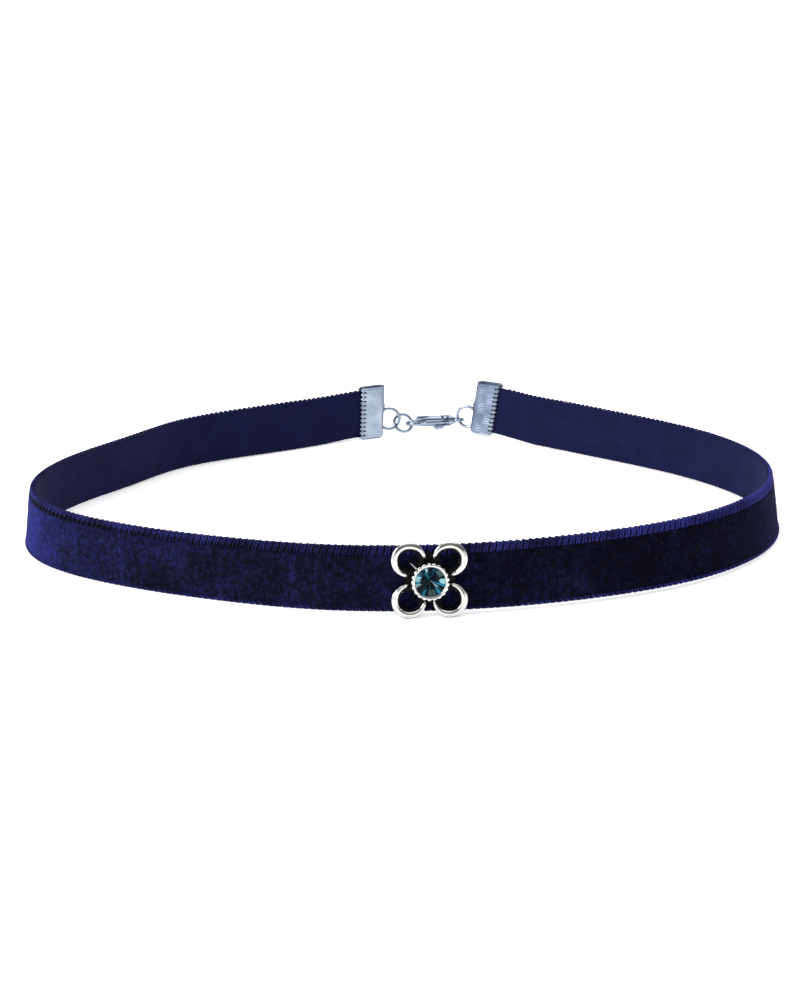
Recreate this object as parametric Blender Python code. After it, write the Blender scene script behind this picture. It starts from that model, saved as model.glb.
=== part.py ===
# Velvet ribbon choker with a cast flower, a faceted stone and a lobster clasp.
# Metres, +Z up. The necklace stands on its lower edge: the flower is at the front (-Y), the clasp at the back (+Y).
# The origin is the middle of the floor under it.

import math
from collections import namedtuple

import bmesh
import bpy
import numpy as np
from mathutils import Matrix, Vector

MM = 0.001

# Ribbon
LOOP_WIDTH = 127.0 * MM
LOOP_DEPTH = 103.0 * MM
RIBBON_HEIGHT = 10.0 * MM
RIBBON_THICKNESS = 1.2 * MM
RIBBON_CRUSHED = 0.7 * MM
RIBBON_EDGE_ROUND = 0.22 * MM
SELVAGE_HEIGHT = 1.3 * MM
SELVAGE_DEPTH = 0.16 * MM
RIBBON_STATION = 3.0 * MM
CRUSH_LENGTH = 3.0 * MM
STATION_MARGIN = 0.3
SPLINE_STEPS = 40

# Ends of the ribbon
END_RISE_LENGTH = 16.0 * MM
LEFT_END_LIFT = 0.45 * MM
RIGHT_END_LIFT = 1.05 * MM
LEFT_END_ROLL = math.radians(-2.0)
RIGHT_END_ROLL = math.radians(9.0)

# Gap kept between pieces that touch
CLEARANCE = 0.3 * MM

# Flower
PETAL_OUTER_RADIUS = 2.7 * MM
PETAL_WIRE_RADIUS = 0.48 * MM
PETAL_SIDE_OFFSET = 3.02 * MM
PETAL_RISE = 3.05 * MM
PETAL_OPENING = math.radians(78.0)
PETAL_STEPS = 18
PETAL_WIRE_SIDES = 8
PETAL_END_SHARE = 0.62
PETAL_TAPER_SHARE = 0.25
PETAL_LEDGE_WIDTH = 0.36 * MM
PETAL_LEDGE_THICKNESS = 0.4 * MM
PETAL_LEDGE_SIDES = 20
FLOWER_DROP = 0.55 * MM
FLOWER_SHARE = 0.0252
FLOWER_SEARCH_STEPS = 2000
HUB_RADIUS = 2.3 * MM
HUB_THICKNESS = 0.7 * MM
WEB_WIDTH = 1.3 * MM
WEB_TIP_SHARE = 0.8
BEZEL_RADIUS = 2.85 * MM
BEZEL_WALL = 0.5 * MM
BEZEL_HEIGHT = 1.5 * MM
BEZEL_TEETH = 21
BEZEL_TOOTH_STEPS = 4
BEZEL_TOOTH_DEPTH = 0.22 * MM
BEZEL_RIM_ROUND = 0.16 * MM
BEZEL_MOUTH_ROUND = 0.08 * MM
POST_RADIUS = 0.6 * MM
POST_HEAD_RADIUS = 1.1 * MM
POST_HEAD_THICKNESS = 0.4 * MM
POST_SIDES = 16
WASHER_RADIUS = 2.2 * MM
WASHER_THICKNESS = 0.3 * MM
WASHER_SIDES = 24

# Stone
STONE_SIDES = 16
STONE_TABLE_SHARE = 0.55
STONE_CROWN_SHARE = 0.30
STONE_GIRDLE_SHARE = 0.06
STONE_PAVILION_SHARE = 0.46

# Ribbon clamps
CLAMP_HEIGHT = 10.9 * MM
CLAMP_LEG = 4.4 * MM
CLAMP_WALL = 0.45 * MM
CLAMP_TEETH = 12
CLAMP_TOOTH_DEPTH = 0.5 * MM
CLAMP_BENDS = 6
CLAMP_NOTCH_HEIGHT = 2.0 * MM
CLAMP_NOTCH_START = 0.2 * MM
RIBBON_SETBACK = 1.3 * MM
RIB_ROWS = 5
RIBS_PER_ROW = 4
RIB_LENGTH = 1.55 * MM
RIB_WIDTH = 0.3 * MM
RIB_PITCH = 0.5 * MM
RIB_RISE = 0.12 * MM
RIB_TOP_SHARE = 0.5
RIB_MARGIN = 0.22 * MM

# Rings
JUMP_RING_RADIUS = 2.2 * MM
LINK_RING_RADIUS = 1.95 * MM
RING_WIRE_RADIUS = 0.28 * MM
RING_SEAT = 0.05 * MM
LINK_GAP = 0.39 * MM
HOOK_GAP = 0.24 * MM
TAIL_GAP = 0.2 * MM
RING_SIDES = 16
WIRE_SIDES = 6
LEFT_RING_TURN = math.radians(-20.0)
RIGHT_RING_TURN = math.radians(7.0)
LEFT_RING_DROP = 1.7 * MM
RIGHT_RING_DROP = 2.35 * MM
LEFT_RING_SAG = math.radians(22.0)
RIGHT_RING_SAG = math.radians(25.0)
LINK_RING_SAG = math.radians(12.0)
LINK_RING_TILT = math.radians(54.0)

# Clasp
CLASP_SPINE_OFFSET = 1.7 * MM
CLASP_PIVOT_SIDE = 1.1 * MM
CLASP_BAR_RADIUS = 0.5 * MM
CLASP_ROLL = math.radians(-10.0)
TAIL_LOOP_RADIUS = 1.0 * MM
TAIL_LOOP_WIRE = 0.34 * MM
TAIL_LOOP_SIDES = 14
TAIL_LOOP_WIRE_SIDES = 8
CLASP_BAR_SIDES = 10
CLASP_STATION = 0.45 * MM
LEVER_HUB_RADIUS = 0.55 * MM
LEVER_HUB_THICKNESS = 1.1 * MM
LEVER_HUB_SIDES = 16
LEVER_GAP = 0.16 * MM
CHEEK_RADIUS = 0.62 * MM
CHEEK_THICKNESS = 0.35 * MM
CHEEK_BENDS = 8
CHEEK_FLARE = 1.2
CHEEK_ROOT_SHARE = 0.3
PIN_RADIUS = 0.2 * MM
PIN_CLEARANCE = 0.08 * MM
PIN_SIDES = 12

# Finishes
NAVY = (0.02, 0.02, 0.10)
NAVY_ROUGHNESS = 0.95
ANTIQUE_SILVER = (0.62, 0.61, 0.58)
ANTIQUE_ROUGHNESS = 0.32
PALE_STEEL = (0.60, 0.65, 0.74)
STEEL_ROUGHNESS = 0.30
TEAL = (0.03, 0.32, 0.42)
TEAL_ROUGHNESS = 0.05
SMOOTH_ANGLE = math.radians(40.0)

LoopRow = namedtuple("LoopRow", ("x", "y", "lean"))
BarRow = namedtuple("BarRow", ("along", "side", "half_width", "half_depth"))

# The loop from above, from the left end round the front to the right end.
# x as a share of LOOP_WIDTH, y as a share of LOOP_DEPTH, lean as how far the top edge leans out over RIBBON_HEIGHT.
LOOP_TABLE = (
    LoopRow(-0.044, 0.492, 0.00),
    LoopRow(-0.104, 0.452, 0.00),
    LoopRow(-0.162, 0.406, 0.05),
    LoopRow(-0.260, 0.332, 0.00),
    LoopRow(-0.346, 0.249, -0.08),
    LoopRow(-0.409, 0.130, -0.12),
    LoopRow(-0.473, -0.002, -0.15),
    LoopRow(-0.501, -0.140, -0.14),
    LoopRow(-0.474, -0.268, -0.10),
    LoopRow(-0.363, -0.386, -0.07),
    LoopRow(-0.236, -0.453, -0.08),
    LoopRow(-0.102, -0.495, -0.11),
    LoopRow(0.042, -0.497, -0.13),
    LoopRow(0.203, -0.452, -0.18),
    LoopRow(0.376, -0.345, -0.21),
    LoopRow(0.480, -0.188, -0.18),
    LoopRow(0.501, -0.004, -0.12),
    LoopRow(0.441, 0.166, -0.03),
    LoopRow(0.331, 0.305, 0.04),
    LoopRow(0.200, 0.441, 0.06),
    LoopRow(0.157, 0.478, 0.00),
    LoopRow(0.1225, 0.504, 0.00),
)

# The hook of the clasp, from its tip round the crown to the neck, as shares of the clasp's length and spine offset.
# half_width is in the hook's plane and half_depth across it, both over CLASP_BAR_RADIUS.
HOOK_TABLE = (
    BarRow(0.235, -0.98, 0.80, 0.95),
    BarRow(0.140, -1.02, 0.88, 0.90),
    BarRow(0.072, -0.64, 0.92, 0.85),
    BarRow(0.0435, 0.00, 0.95, 0.90),
    BarRow(0.072, 0.64, 0.92, 0.85),
    BarRow(0.150, 0.98, 1.10, 1.05),
    BarRow(0.340, 1.02, 1.50, 2.00),
    BarRow(0.520, 0.86, 1.80, 2.20),
    BarRow(0.680, 0.52, 2.00, 2.30),
    BarRow(0.790, 0.16, 1.50, 2.00),
    BarRow(0.860, 0.00, 0.80, 1.10),
)

# The lever of the clasp, from its free end to its hub, in the same shares.
LEVER_TABLE = (
    BarRow(0.290, -0.98, 0.72, 0.90),
    BarRow(0.380, -1.00, 0.90, 1.10),
    BarRow(0.480, -1.10, 1.35, 1.10),
    BarRow(0.580, -1.02, 1.45, 1.10),
    BarRow(0.680, -0.72, 0.90, 1.10),
)


def clear_scene():
    for thing in list(bpy.data.objects):
        bpy.data.objects.remove(thing)


def material(name, colour, roughness, metallic):
    made = bpy.data.materials.new(name)
    made.use_nodes = True
    shader = made.node_tree.nodes["Principled BSDF"]
    shader.inputs["Base Color"].default_value = (*colour, 1.0)
    shader.inputs["Roughness"].default_value = roughness
    shader.inputs["Metallic"].default_value = metallic
    return made


def solid(name, points, faces, finish, frame=None):
    """An object with one closed mesh, its faces turned outward and its round parts shaded smooth."""
    mesh = bpy.data.meshes.new(name)
    mesh.from_pydata([tuple(point) for point in points], [], faces)
    work = bmesh.new()
    work.from_mesh(mesh)
    bmesh.ops.recalc_face_normals(work, faces=work.faces)
    work.to_mesh(mesh)
    work.free()
    mesh.materials.append(finish)
    mesh.shade_smooth()
    mesh.set_sharp_from_angle(angle=SMOOTH_ANGLE)
    made = bpy.data.objects.new(name, mesh)
    bpy.context.scene.collection.objects.link(made)
    if frame is not None:
        made.matrix_world = frame
    return made


def hide_as_tool(thing):
    thing.hide_render = True
    thing.display_type = "WIRE"


def combine(target, tool, operation):
    """Leaves an exact Boolean on the target and hides the tool."""
    step = target.modifiers.new(operation.title(), "BOOLEAN")
    step.operation = operation
    step.solver = "EXACT"
    step.object = tool
    hide_as_tool(tool)


def smooth_rows(table, spacing):
    """Natural cubic spline through the rows, resampled evenly along its first two columns."""
    rows = np.array(table, dtype=float)
    steps = np.hypot(np.diff(rows[:, 0]), np.diff(rows[:, 1]))
    knots = np.concatenate([[0.0], np.cumsum(steps)])
    count = len(rows)
    system = np.zeros((count, count))
    right = np.zeros((count, rows.shape[1]))
    system[0, 0] = 1.0
    system[-1, -1] = 1.0
    for i in range(1, count - 1):
        before = knots[i] - knots[i - 1]
        after = knots[i + 1] - knots[i]
        system[i, i - 1] = before
        system[i, i] = 2.0 * (before + after)
        system[i, i + 1] = after
        slope_after = (rows[i + 1] - rows[i]) / after
        slope_before = (rows[i] - rows[i - 1]) / before
        right[i] = 6.0 * (slope_after - slope_before)
    bends = np.linalg.solve(system, right)

    def value(at):
        i = int(np.clip(np.searchsorted(knots, at) - 1, 0, count - 2))
        width = knots[i + 1] - knots[i]
        a = (knots[i + 1] - at) / width
        b = 1.0 - a
        curve = (a ** 3 - a) * bends[i] + (b ** 3 - b) * bends[i + 1]
        return a * rows[i] + b * rows[i + 1] + curve * width ** 2 / 6.0

    fine = np.array([value(at) for at in np.linspace(knots[0], knots[-1], SPLINE_STEPS * count)])
    runs = np.concatenate([[0.0], np.cumsum(np.hypot(np.diff(fine[:, 0]), np.diff(fine[:, 1])))])
    pieces = max(4, int(round(runs[-1] / spacing)))
    wanted = np.linspace(0.0, runs[-1], pieces + 1)
    columns = [np.interp(wanted, runs, fine[:, k]) for k in range(fine.shape[1])]
    return wanted, np.stack(columns, axis=1)


def loft(rings):
    """Closed skin over rings of equally many points, with both ends capped."""
    sides = len(rings[0])
    points = [point for ring in rings for point in ring]
    faces = []
    for i in range(len(rings) - 1):
        for j in range(sides):
            k = (j + 1) % sides
            faces.append((i * sides + j, i * sides + k, (i + 1) * sides + k, (i + 1) * sides + j))
    faces.append(tuple(reversed(range(sides))))
    faces.append(tuple(range((len(rings) - 1) * sides, len(rings) * sides)))
    return points, faces


def ring_mesh(radius, wire, sides, wire_sides):
    """Round ring in the local XY plane."""
    points = []
    faces = []
    for i in range(sides):
        turn = 2.0 * math.pi * i / sides
        for j in range(wire_sides):
            around = 2.0 * math.pi * j / wire_sides
            reach = radius + wire * math.cos(around)
            points.append((reach * math.cos(turn), reach * math.sin(turn), wire * math.sin(around)))
    for i in range(sides):
        for j in range(wire_sides):
            a = i * wire_sides + j
            b = i * wire_sides + (j + 1) % wire_sides
            c = ((i + 1) % sides) * wire_sides + (j + 1) % wire_sides
            d = ((i + 1) % sides) * wire_sides + j
            faces.append((a, b, c, d))
    return points, faces


def disc_mesh(radius, low, high, sides):
    """Flat round plate along local Z."""
    rings = []
    for level in (low, high):
        turns = [2.0 * math.pi * i / sides for i in range(sides)]
        rings.append([(radius * math.cos(turn), radius * math.sin(turn), level) for turn in turns])
    return loft(rings)


def swept_mesh(rows, corners):
    """Round bar along a table's rows, in the local XY plane."""
    rings = []
    for i, row in enumerate(rows):
        before = rows[max(i - 1, 0)]
        after = rows[min(i + 1, len(rows) - 1)]
        heading = math.atan2(after.side - before.side, after.along - before.along)
        side = (-math.sin(heading), math.cos(heading))
        ring = []
        for j in range(corners):
            around = 2.0 * math.pi * (j + 0.5) / corners
            out = row.half_width * math.cos(around)
            ring.append((row.along + side[0] * out, row.side + side[1] * out, row.half_depth * math.sin(around)))
        rings.append(ring)
    return loft(rings)


def hoop_mesh(centre, profile, sides):
    """Flat hoop: a closed outline of radius and level carried round a centre."""
    points = []
    for radius, level in profile:
        for i in range(sides):
            turn = 2.0 * math.pi * i / sides
            points.append((centre[0] + radius * math.cos(turn), centre[1] + radius * math.sin(turn), level))
    faces = []
    for ring in range(len(profile)):
        following = (ring + 1) % len(profile)
        for i in range(sides):
            k = (i + 1) % sides
            faces.append((ring * sides + i, ring * sides + k, following * sides + k, following * sides + i))
    return points, faces


def frame_of(origin, x_axis, y_axis, z_axis):
    """World matrix with the given origin and axes."""
    matrix = Matrix.Identity(4)
    for column, axis in enumerate((x_axis, y_axis, z_axis)):
        for row in range(3):
            matrix[row][column] = axis[row]
    matrix.translation = origin
    return matrix


def ease(share):
    share = min(max(share, 0.0), 1.0)
    return share * share * (3.0 - 2.0 * share)


class Ribbon:
    """The loop's line from above, with the frame of any station along it."""

    def __init__(self):
        scaled = [(row.x * LOOP_WIDTH, row.y * LOOP_DEPTH, row.lean) for row in LOOP_TABLE]
        self.runs, rows = smooth_rows(scaled, RIBBON_STATION)
        self.plan = rows[:, :2]
        self.lean = rows[:, 2]
        self.length = self.runs[-1]
        self.back = max(LOOP_TABLE[2].y, LOOP_TABLE[-3].y) * LOOP_DEPTH
        self.front = min(row.y for row in LOOP_TABLE) * LOOP_DEPTH

    def at(self, run):
        return Vector([float(np.interp(run, self.runs, self.plan[:, k])) for k in (0, 1)] + [0.0])

    def tangent(self, run):
        near = min(max(run, 0.5 * RIBBON_STATION), self.length - 0.5 * RIBBON_STATION)
        step = self.at(near + 0.5 * RIBBON_STATION) - self.at(near - 0.5 * RIBBON_STATION)
        return step.normalized()

    def outward(self, run):
        tangent = self.tangent(run)
        return Vector((tangent.y, -tangent.x, 0.0))

    def base(self, run):
        """Height of the lower edge: the flower lifts the front, and the clamps lift the ends."""
        place = self.at(run)
        slope = (self.back - place.y) / (self.back - self.front)
        lift = FLOWER_DROP * max(slope, 0.0)
        left = ease(1.0 - run / END_RISE_LENGTH) * LEFT_END_LIFT
        right = ease(1.0 - (self.length - run) / END_RISE_LENGTH) * RIGHT_END_LIFT
        return lift + left + right

    def roll(self, run):
        left = ease(1.0 - run / END_RISE_LENGTH) * math.tan(LEFT_END_ROLL)
        right = ease(1.0 - (self.length - run) / END_RISE_LENGTH) * math.tan(RIGHT_END_ROLL)
        return left - right

    def point(self, run, out, up):
        """World place of a point out from the middle plane and up from mid height."""
        lean = float(np.interp(run, self.runs, self.lean))
        place = self.at(run) + self.outward(run) * (out + lean * up) + self.tangent(run) * (self.roll(run) * up)
        place.z = self.base(run) + 0.5 * RIBBON_HEIGHT + up
        return place


class RibbonEnd:
    """Local frame of a ribbon end: along points on towards the chain, out away from the neck, up along the height."""

    def __init__(self, ribbon, right):
        self.run = ribbon.length if right else 0.0
        self.sign = 1.0 if right else -1.0
        self.ribbon = ribbon
        self.origin = ribbon.point(self.run, 0.0, 0.0)
        self.along = ribbon.tangent(self.run) * self.sign
        self.out = ribbon.outward(self.run)
        self.roll = ribbon.roll(self.run) * self.sign

    def place(self, along, out, up):
        flat = self.origin + self.along * (along + self.roll * up) + self.out * out
        return Vector((flat.x, flat.y, self.origin.z + up))


def ribbon_section(crush):
    """Outline of the ribbon's section, from its lower inner corner round to its upper inner one."""
    half = 0.5 * RIBBON_HEIGHT
    thick = RIBBON_THICKNESS + (RIBBON_CRUSHED - RIBBON_THICKNESS) * crush
    inner = -0.5 * thick
    outer = 0.5 * thick
    edge = RIBBON_EDGE_ROUND
    strip = half - SELVAGE_HEIGHT
    thin = outer - SELVAGE_DEPTH * (1.0 - crush)
    return (
        (inner, -half + edge),
        (inner + edge, -half),
        (outer - edge, -half),
        (outer, -half + edge),
        (outer, strip - 0.5 * SELVAGE_DEPTH),
        (thin, strip + 0.5 * SELVAGE_DEPTH),
        (thin, half - edge),
        (thin - edge, half),
        (inner + edge, half),
        (inner, half - edge),
    )


def build_ribbon(ribbon, finish):
    stations = np.arange(0.0, ribbon.length + 1e-9, RIBBON_STATION)
    inside = [run for run in stations if RIBBON_SETBACK < run < ribbon.length - RIBBON_SETBACK]
    runs = [RIBBON_SETBACK] + [r for r in inside if r > RIBBON_SETBACK + STATION_MARGIN * RIBBON_STATION]
    last = ribbon.length - RIBBON_SETBACK
    runs = [run for run in runs if run < last - STATION_MARGIN * RIBBON_STATION] + [last]
    rings = []
    for run in runs:
        from_end = min(run, ribbon.length - run)
        crush = ease((CLAMP_LEG + CRUSH_LENGTH - from_end) / CRUSH_LENGTH)
        rings.append([ribbon.point(run, out, up) for out, up in ribbon_section(crush)])
    points, faces = loft(rings)
    return solid("velvet_ribbon", points, faces, finish)


def flower_frame(ribbon):
    """Local X runs along the ribbon, Y up, Z out of the ribbon's face at the middle of the flower."""
    run = find_run(ribbon, FLOWER_SHARE * LOOP_WIDTH)
    low = ribbon.point(run, 0.0, -0.5 * RIBBON_HEIGHT)
    high = ribbon.point(run, 0.0, 0.5 * RIBBON_HEIGHT)
    up = (high - low).normalized()
    along = ribbon.tangent(run)
    out = along.cross(up).normalized()
    centre = ribbon.point(run, 0.0, 0.0)
    reach = PETAL_RISE + PETAL_OUTER_RADIUS
    lowest = centre - up * reach + out * (flower_back() + PETAL_WIRE_RADIUS)
    centre = centre + up * (-lowest.z / up.z)
    return frame_of(centre, along, up, out)


def find_run(ribbon, x):
    """Run along the front half of the loop at a given x."""
    front = [run for run in np.linspace(0.0, ribbon.length, FLOWER_SEARCH_STEPS) if ribbon.at(run).y < 0.0]
    return min(front, key=lambda run: abs(ribbon.at(run).x - x))


def petal_mesh(side, rise):
    """Open round wire petal with tapered ends towards the hub, in flower coordinates."""
    centre = Vector((side * PETAL_SIDE_OFFSET, rise * PETAL_RISE, 0.0))
    towards_hub = math.atan2(-centre.y, -centre.x)
    radius = PETAL_OUTER_RADIUS - PETAL_WIRE_RADIUS
    half_open = 0.5 * PETAL_OPENING
    level = flower_back() + PETAL_WIRE_RADIUS
    rings = []
    for i in range(PETAL_STEPS + 1):
        share = i / PETAL_STEPS
        turn = towards_hub + half_open + share * (2.0 * math.pi - PETAL_OPENING)
        swell = PETAL_END_SHARE + (1.0 - PETAL_END_SHARE) * ease(min(share, 1.0 - share) / PETAL_TAPER_SHARE)
        wire = PETAL_WIRE_RADIUS * swell
        ring = []
        for j in range(PETAL_WIRE_SIDES):
            around = 2.0 * math.pi * (j + 0.5) / PETAL_WIRE_SIDES
            reach = radius + wire * math.cos(around)
            height = level + wire * math.sin(around)
            ring.append((centre.x + reach * math.cos(turn), centre.y + reach * math.sin(turn), height))
        rings.append(ring)
    return loft(rings)


def flower_back():
    """Height of the flower's back over the ribbon's middle plane."""
    return 0.5 * RIBBON_THICKNESS + CLEARANCE


def ledge_mesh(side, rise):
    """Flat recessed ledge round the inside of a petal."""
    outer = PETAL_OUTER_RADIUS - PETAL_WIRE_RADIUS
    inner = PETAL_OUTER_RADIUS - 2.0 * PETAL_WIRE_RADIUS - PETAL_LEDGE_WIDTH
    low = flower_back()
    high = low + PETAL_LEDGE_THICKNESS
    centre = (side * PETAL_SIDE_OFFSET, rise * PETAL_RISE)
    return hoop_mesh(centre, ((outer, low), (outer, high), (inner, high), (inner, low)), PETAL_LEDGE_SIDES)


def bezel_mesh():
    """Cup with a scalloped rim: the outside ripples, and the inside is a plain round pocket."""
    sides = BEZEL_TEETH * BEZEL_TOOTH_STEPS
    floor = flower_back()
    pocket = floor + HUB_THICKNESS * 0.5
    rim = floor + HUB_THICKNESS + BEZEL_HEIGHT
    inner = BEZEL_RADIUS - BEZEL_WALL
    profile = (
        (HUB_RADIUS, floor, 0.0),
        (BEZEL_RADIUS, floor + HUB_THICKNESS, 0.5),
        (BEZEL_RADIUS, rim - BEZEL_RIM_ROUND, 1.0),
        (BEZEL_RADIUS - BEZEL_RIM_ROUND, rim, 1.0),
        (inner + BEZEL_MOUTH_ROUND, rim, 0.0),
        (inner, rim - BEZEL_MOUTH_ROUND, 0.0),
        (inner, pocket, 0.0),
    )
    points = []
    for radius, level, ripple in profile:
        for i in range(sides):
            turn = 2.0 * math.pi * i / sides
            scallop = ripple * BEZEL_TOOTH_DEPTH * abs(math.sin(0.5 * BEZEL_TEETH * turn))
            reach = radius - BEZEL_TOOTH_DEPTH * ripple + scallop
            points.append((reach * math.cos(turn), reach * math.sin(turn), level))
    faces = []
    for ring in range(len(profile) - 1):
        for i in range(sides):
            k = (i + 1) % sides
            faces.append((ring * sides + i, ring * sides + k, (ring + 1) * sides + k, (ring + 1) * sides + i))
    faces.append(tuple(reversed(range(sides))))
    faces.append(tuple(range((len(profile) - 1) * sides, len(profile) * sides)))
    return points, faces


def web_mesh(turn):
    """Flat bar from the hub towards one point between two petals."""
    reach = PETAL_RISE if abs(math.sin(turn)) > 0.5 else PETAL_SIDE_OFFSET
    half = 0.5 * WEB_WIDTH
    low = flower_back()
    high = low + PETAL_LEDGE_THICKNESS
    across = Vector((-math.sin(turn), math.cos(turn), 0.0))
    along = Vector((math.cos(turn), math.sin(turn), 0.0))
    rings = []
    for level in (low, high):
        tip = across * (half * WEB_TIP_SHARE)
        ring = [along * (0.5 * HUB_RADIUS) - across * half, along * reach - tip]
        ring += [along * reach + tip, along * (0.5 * HUB_RADIUS) + across * half]
        rings.append([(point.x, point.y, level) for point in ring])
    return loft(rings)


def post_mesh():
    """Post through the ribbon with a flat head behind the washer."""
    neck = -(0.5 * RIBBON_THICKNESS + 2.0 * CLEARANCE + WASHER_THICKNESS)
    top = flower_back() + 0.25 * HUB_THICKNESS
    profile = (
        (POST_RADIUS, top),
        (POST_RADIUS, neck),
        (POST_HEAD_RADIUS, neck),
        (POST_HEAD_RADIUS, neck - POST_HEAD_THICKNESS),
    )
    rings = []
    for radius, level in profile:
        turns = [2.0 * math.pi * i / POST_SIDES for i in range(POST_SIDES)]
        rings.append([(radius * math.cos(turn), radius * math.sin(turn), level) for turn in turns])
    return loft(rings)


def build_flower(frame, silver):
    points, faces = bezel_mesh()
    flower = solid("flower_setting", points, faces, silver, frame)
    parts = []
    for side in (-1.0, 1.0):
        for rise in (-1.0, 1.0):
            parts.append(("petal", petal_mesh(side, rise)))
            parts.append(("ledge", ledge_mesh(side, rise)))
    for quarter in range(4):
        parts.append(("web", web_mesh(0.5 * math.pi * quarter)))
    parts.append(("post", post_mesh()))
    for index, (kind, (points, faces)) in enumerate(parts):
        tool = solid("tool_%s_%02d" % (kind, index), points, faces, silver, frame)
        combine(flower, tool, "UNION")
    return flower


def build_stone(frame, glass):
    """Round brilliant: table, crown, thin girdle and pointed pavilion."""
    radius = BEZEL_RADIUS - BEZEL_WALL - CLEARANCE
    width = 2.0 * radius
    girdle = flower_back() + HUB_THICKNESS + BEZEL_HEIGHT - 0.5 * CLEARANCE
    pavilion_room = girdle - flower_back() - 0.5 * HUB_THICKNESS - CLEARANCE
    pavilion = min(STONE_PAVILION_SHARE * width, pavilion_room)
    table_radius = STONE_TABLE_SHARE * radius
    sides = STONE_SIDES
    half = sides // 2
    points = []
    for i in range(half):
        turn = 2.0 * math.pi * i / half
        level = girdle + STONE_CROWN_SHARE * radius
        points.append((table_radius * math.cos(turn), table_radius * math.sin(turn), level))
    for level in (girdle, girdle - STONE_GIRDLE_SHARE * radius):
        for i in range(sides):
            turn = 2.0 * math.pi * i / sides
            points.append((radius * math.cos(turn), radius * math.sin(turn), level))
    points.append((0.0, 0.0, girdle - STONE_GIRDLE_SHARE * radius - pavilion + 0.5 * CLEARANCE))
    faces = [tuple(range(half))]
    for i in range(half):
        k = (i + 1) % half
        first = half + 2 * i
        middle = half + 2 * i + 1
        last = half + (2 * i + 2) % sides
        faces.append((i, first, middle))
        faces.append((i, middle, k))
        faces.append((k, middle, last))
    lower = half + sides
    tip = lower + sides
    for i in range(sides):
        k = (i + 1) % sides
        faces.append((half + i, lower + i, lower + k, half + k))
        faces.append((lower + i, tip, lower + k))
    return solid("stone", points, faces, glass, frame)


def build_washer(frame, silver):
    """Washer round the post, behind the ribbon."""
    inner = POST_RADIUS + CLEARANCE
    high = -(0.5 * RIBBON_THICKNESS + CLEARANCE)
    low = high - WASHER_THICKNESS
    profile = ((WASHER_RADIUS, low), (WASHER_RADIUS, high), (inner, high), (inner, low))
    points, faces = hoop_mesh((0.0, 0.0), profile, WASHER_SIDES)
    return solid("post_washer", points, faces, silver, frame)


def drill_ribbon(velvet, frame, finish):
    """Clearance hole for the flower's post."""
    reach = RIBBON_THICKNESS
    points, faces = disc_mesh(POST_RADIUS + CLEARANCE, -reach, reach, POST_SIDES)
    combine(velvet, solid("tool_post_hole", points, faces, finish, frame), "DIFFERENCE")


def clamp_outline(reach):
    """Folded plate from above: outer leaf, bend and inner leaf, as a closed outline of along and out."""
    inner = 0.5 * RIBBON_CRUSHED + CLEARANCE
    outer = inner + CLAMP_WALL
    outline = [(-reach, outer)]
    for i in range(CLAMP_BENDS + 1):
        turn = 0.5 * math.pi - math.pi * i / CLAMP_BENDS
        outline.append((outer * math.cos(turn), outer * math.sin(turn)))
    outline.append((-reach, -outer))
    outline.append((-reach, -inner))
    for i in range(CLAMP_BENDS + 1):
        turn = -0.5 * math.pi + math.pi * i / CLAMP_BENDS
        outline.append((inner * math.cos(turn), inner * math.sin(turn)))
    outline.append((-reach, inner))
    return outline


def box_mesh(end, low, high):
    """Box in a ribbon end's own axes."""
    rings = []
    for up in (low[2], high[2]):
        corners = ((low[0], low[1]), (high[0], low[1]), (high[0], high[1]), (low[0], high[1]))
        rings.append([end.place(along, out, up) for along, out in corners])
    return loft(rings)


def build_clamp(name, end, ring_drop, silver, ribbed):
    levels = 2 * CLAMP_TEETH
    rings = []
    for i in range(levels + 1):
        up = CLAMP_HEIGHT * (i / levels - 0.5)
        reach = CLAMP_LEG - (CLAMP_TOOTH_DEPTH if i % 2 == 0 else 0.0)
        rings.append([end.place(along, out, up) for along, out in clamp_outline(reach)])
    points, faces = loft(rings)
    clamp = solid(name, points, faces, silver)
    inner = 0.5 * RIBBON_CRUSHED + CLEARANCE
    outer = inner + CLAMP_WALL
    rise = notch_level()
    for sign in (-1.0, 1.0):
        middle = sign * rise - ring_drop
        low = (CLAMP_NOTCH_START, -inner, middle - 0.5 * CLAMP_NOTCH_HEIGHT)
        high = (2.0 * outer, inner, middle + 0.5 * CLAMP_NOTCH_HEIGHT)
        points, faces = box_mesh(end, low, high)
        cutter = solid("tool_%s_notch_%d" % (name, 1 + int(sign > 0.0)), points, faces, silver)
        combine(clamp, cutter, "DIFFERENCE")
    if ribbed:
        combine(clamp, build_ribs(name, end, outer, silver), "UNION")
    return clamp


def build_ribs(name, end, outer, silver):
    """Checker of short ribs on both leaves: each row has its ribs at one side, and rows change sides."""
    points = []
    faces = []
    row_height = CLAMP_HEIGHT / RIB_ROWS
    for row in range(RIB_ROWS):
        near_fold = row % 2 == 0
        start = -RIB_LENGTH if near_fold else -CLAMP_LEG + CLAMP_TOOTH_DEPTH + RIB_MARGIN
        for rib in range(RIBS_PER_ROW):
            up = (row + 0.5) * row_height - 0.5 * CLAMP_HEIGHT + (rib - 0.5 * (RIBS_PER_ROW - 1)) * RIB_PITCH
            for face in (-1.0, 1.0):
                rings = []
                for level, width in ((outer - 0.5 * RIB_RISE, 1.0), (outer + RIB_RISE, RIB_TOP_SHARE)):
                    half = 0.5 * RIB_WIDTH * width
                    ring = []
                    for along, lift in ((start, -half), (start + RIB_LENGTH, -half),
                                        (start + RIB_LENGTH, half), (start, half)):
                        ring.append(end.place(along, face * level, up + lift))
                    rings.append(ring)
                more, skins = loft(rings)
                faces += [tuple(index + len(points) for index in skin) for skin in skins]
                points += more
    return solid("tool_%s_ribs" % name, points, faces, silver)


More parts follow.
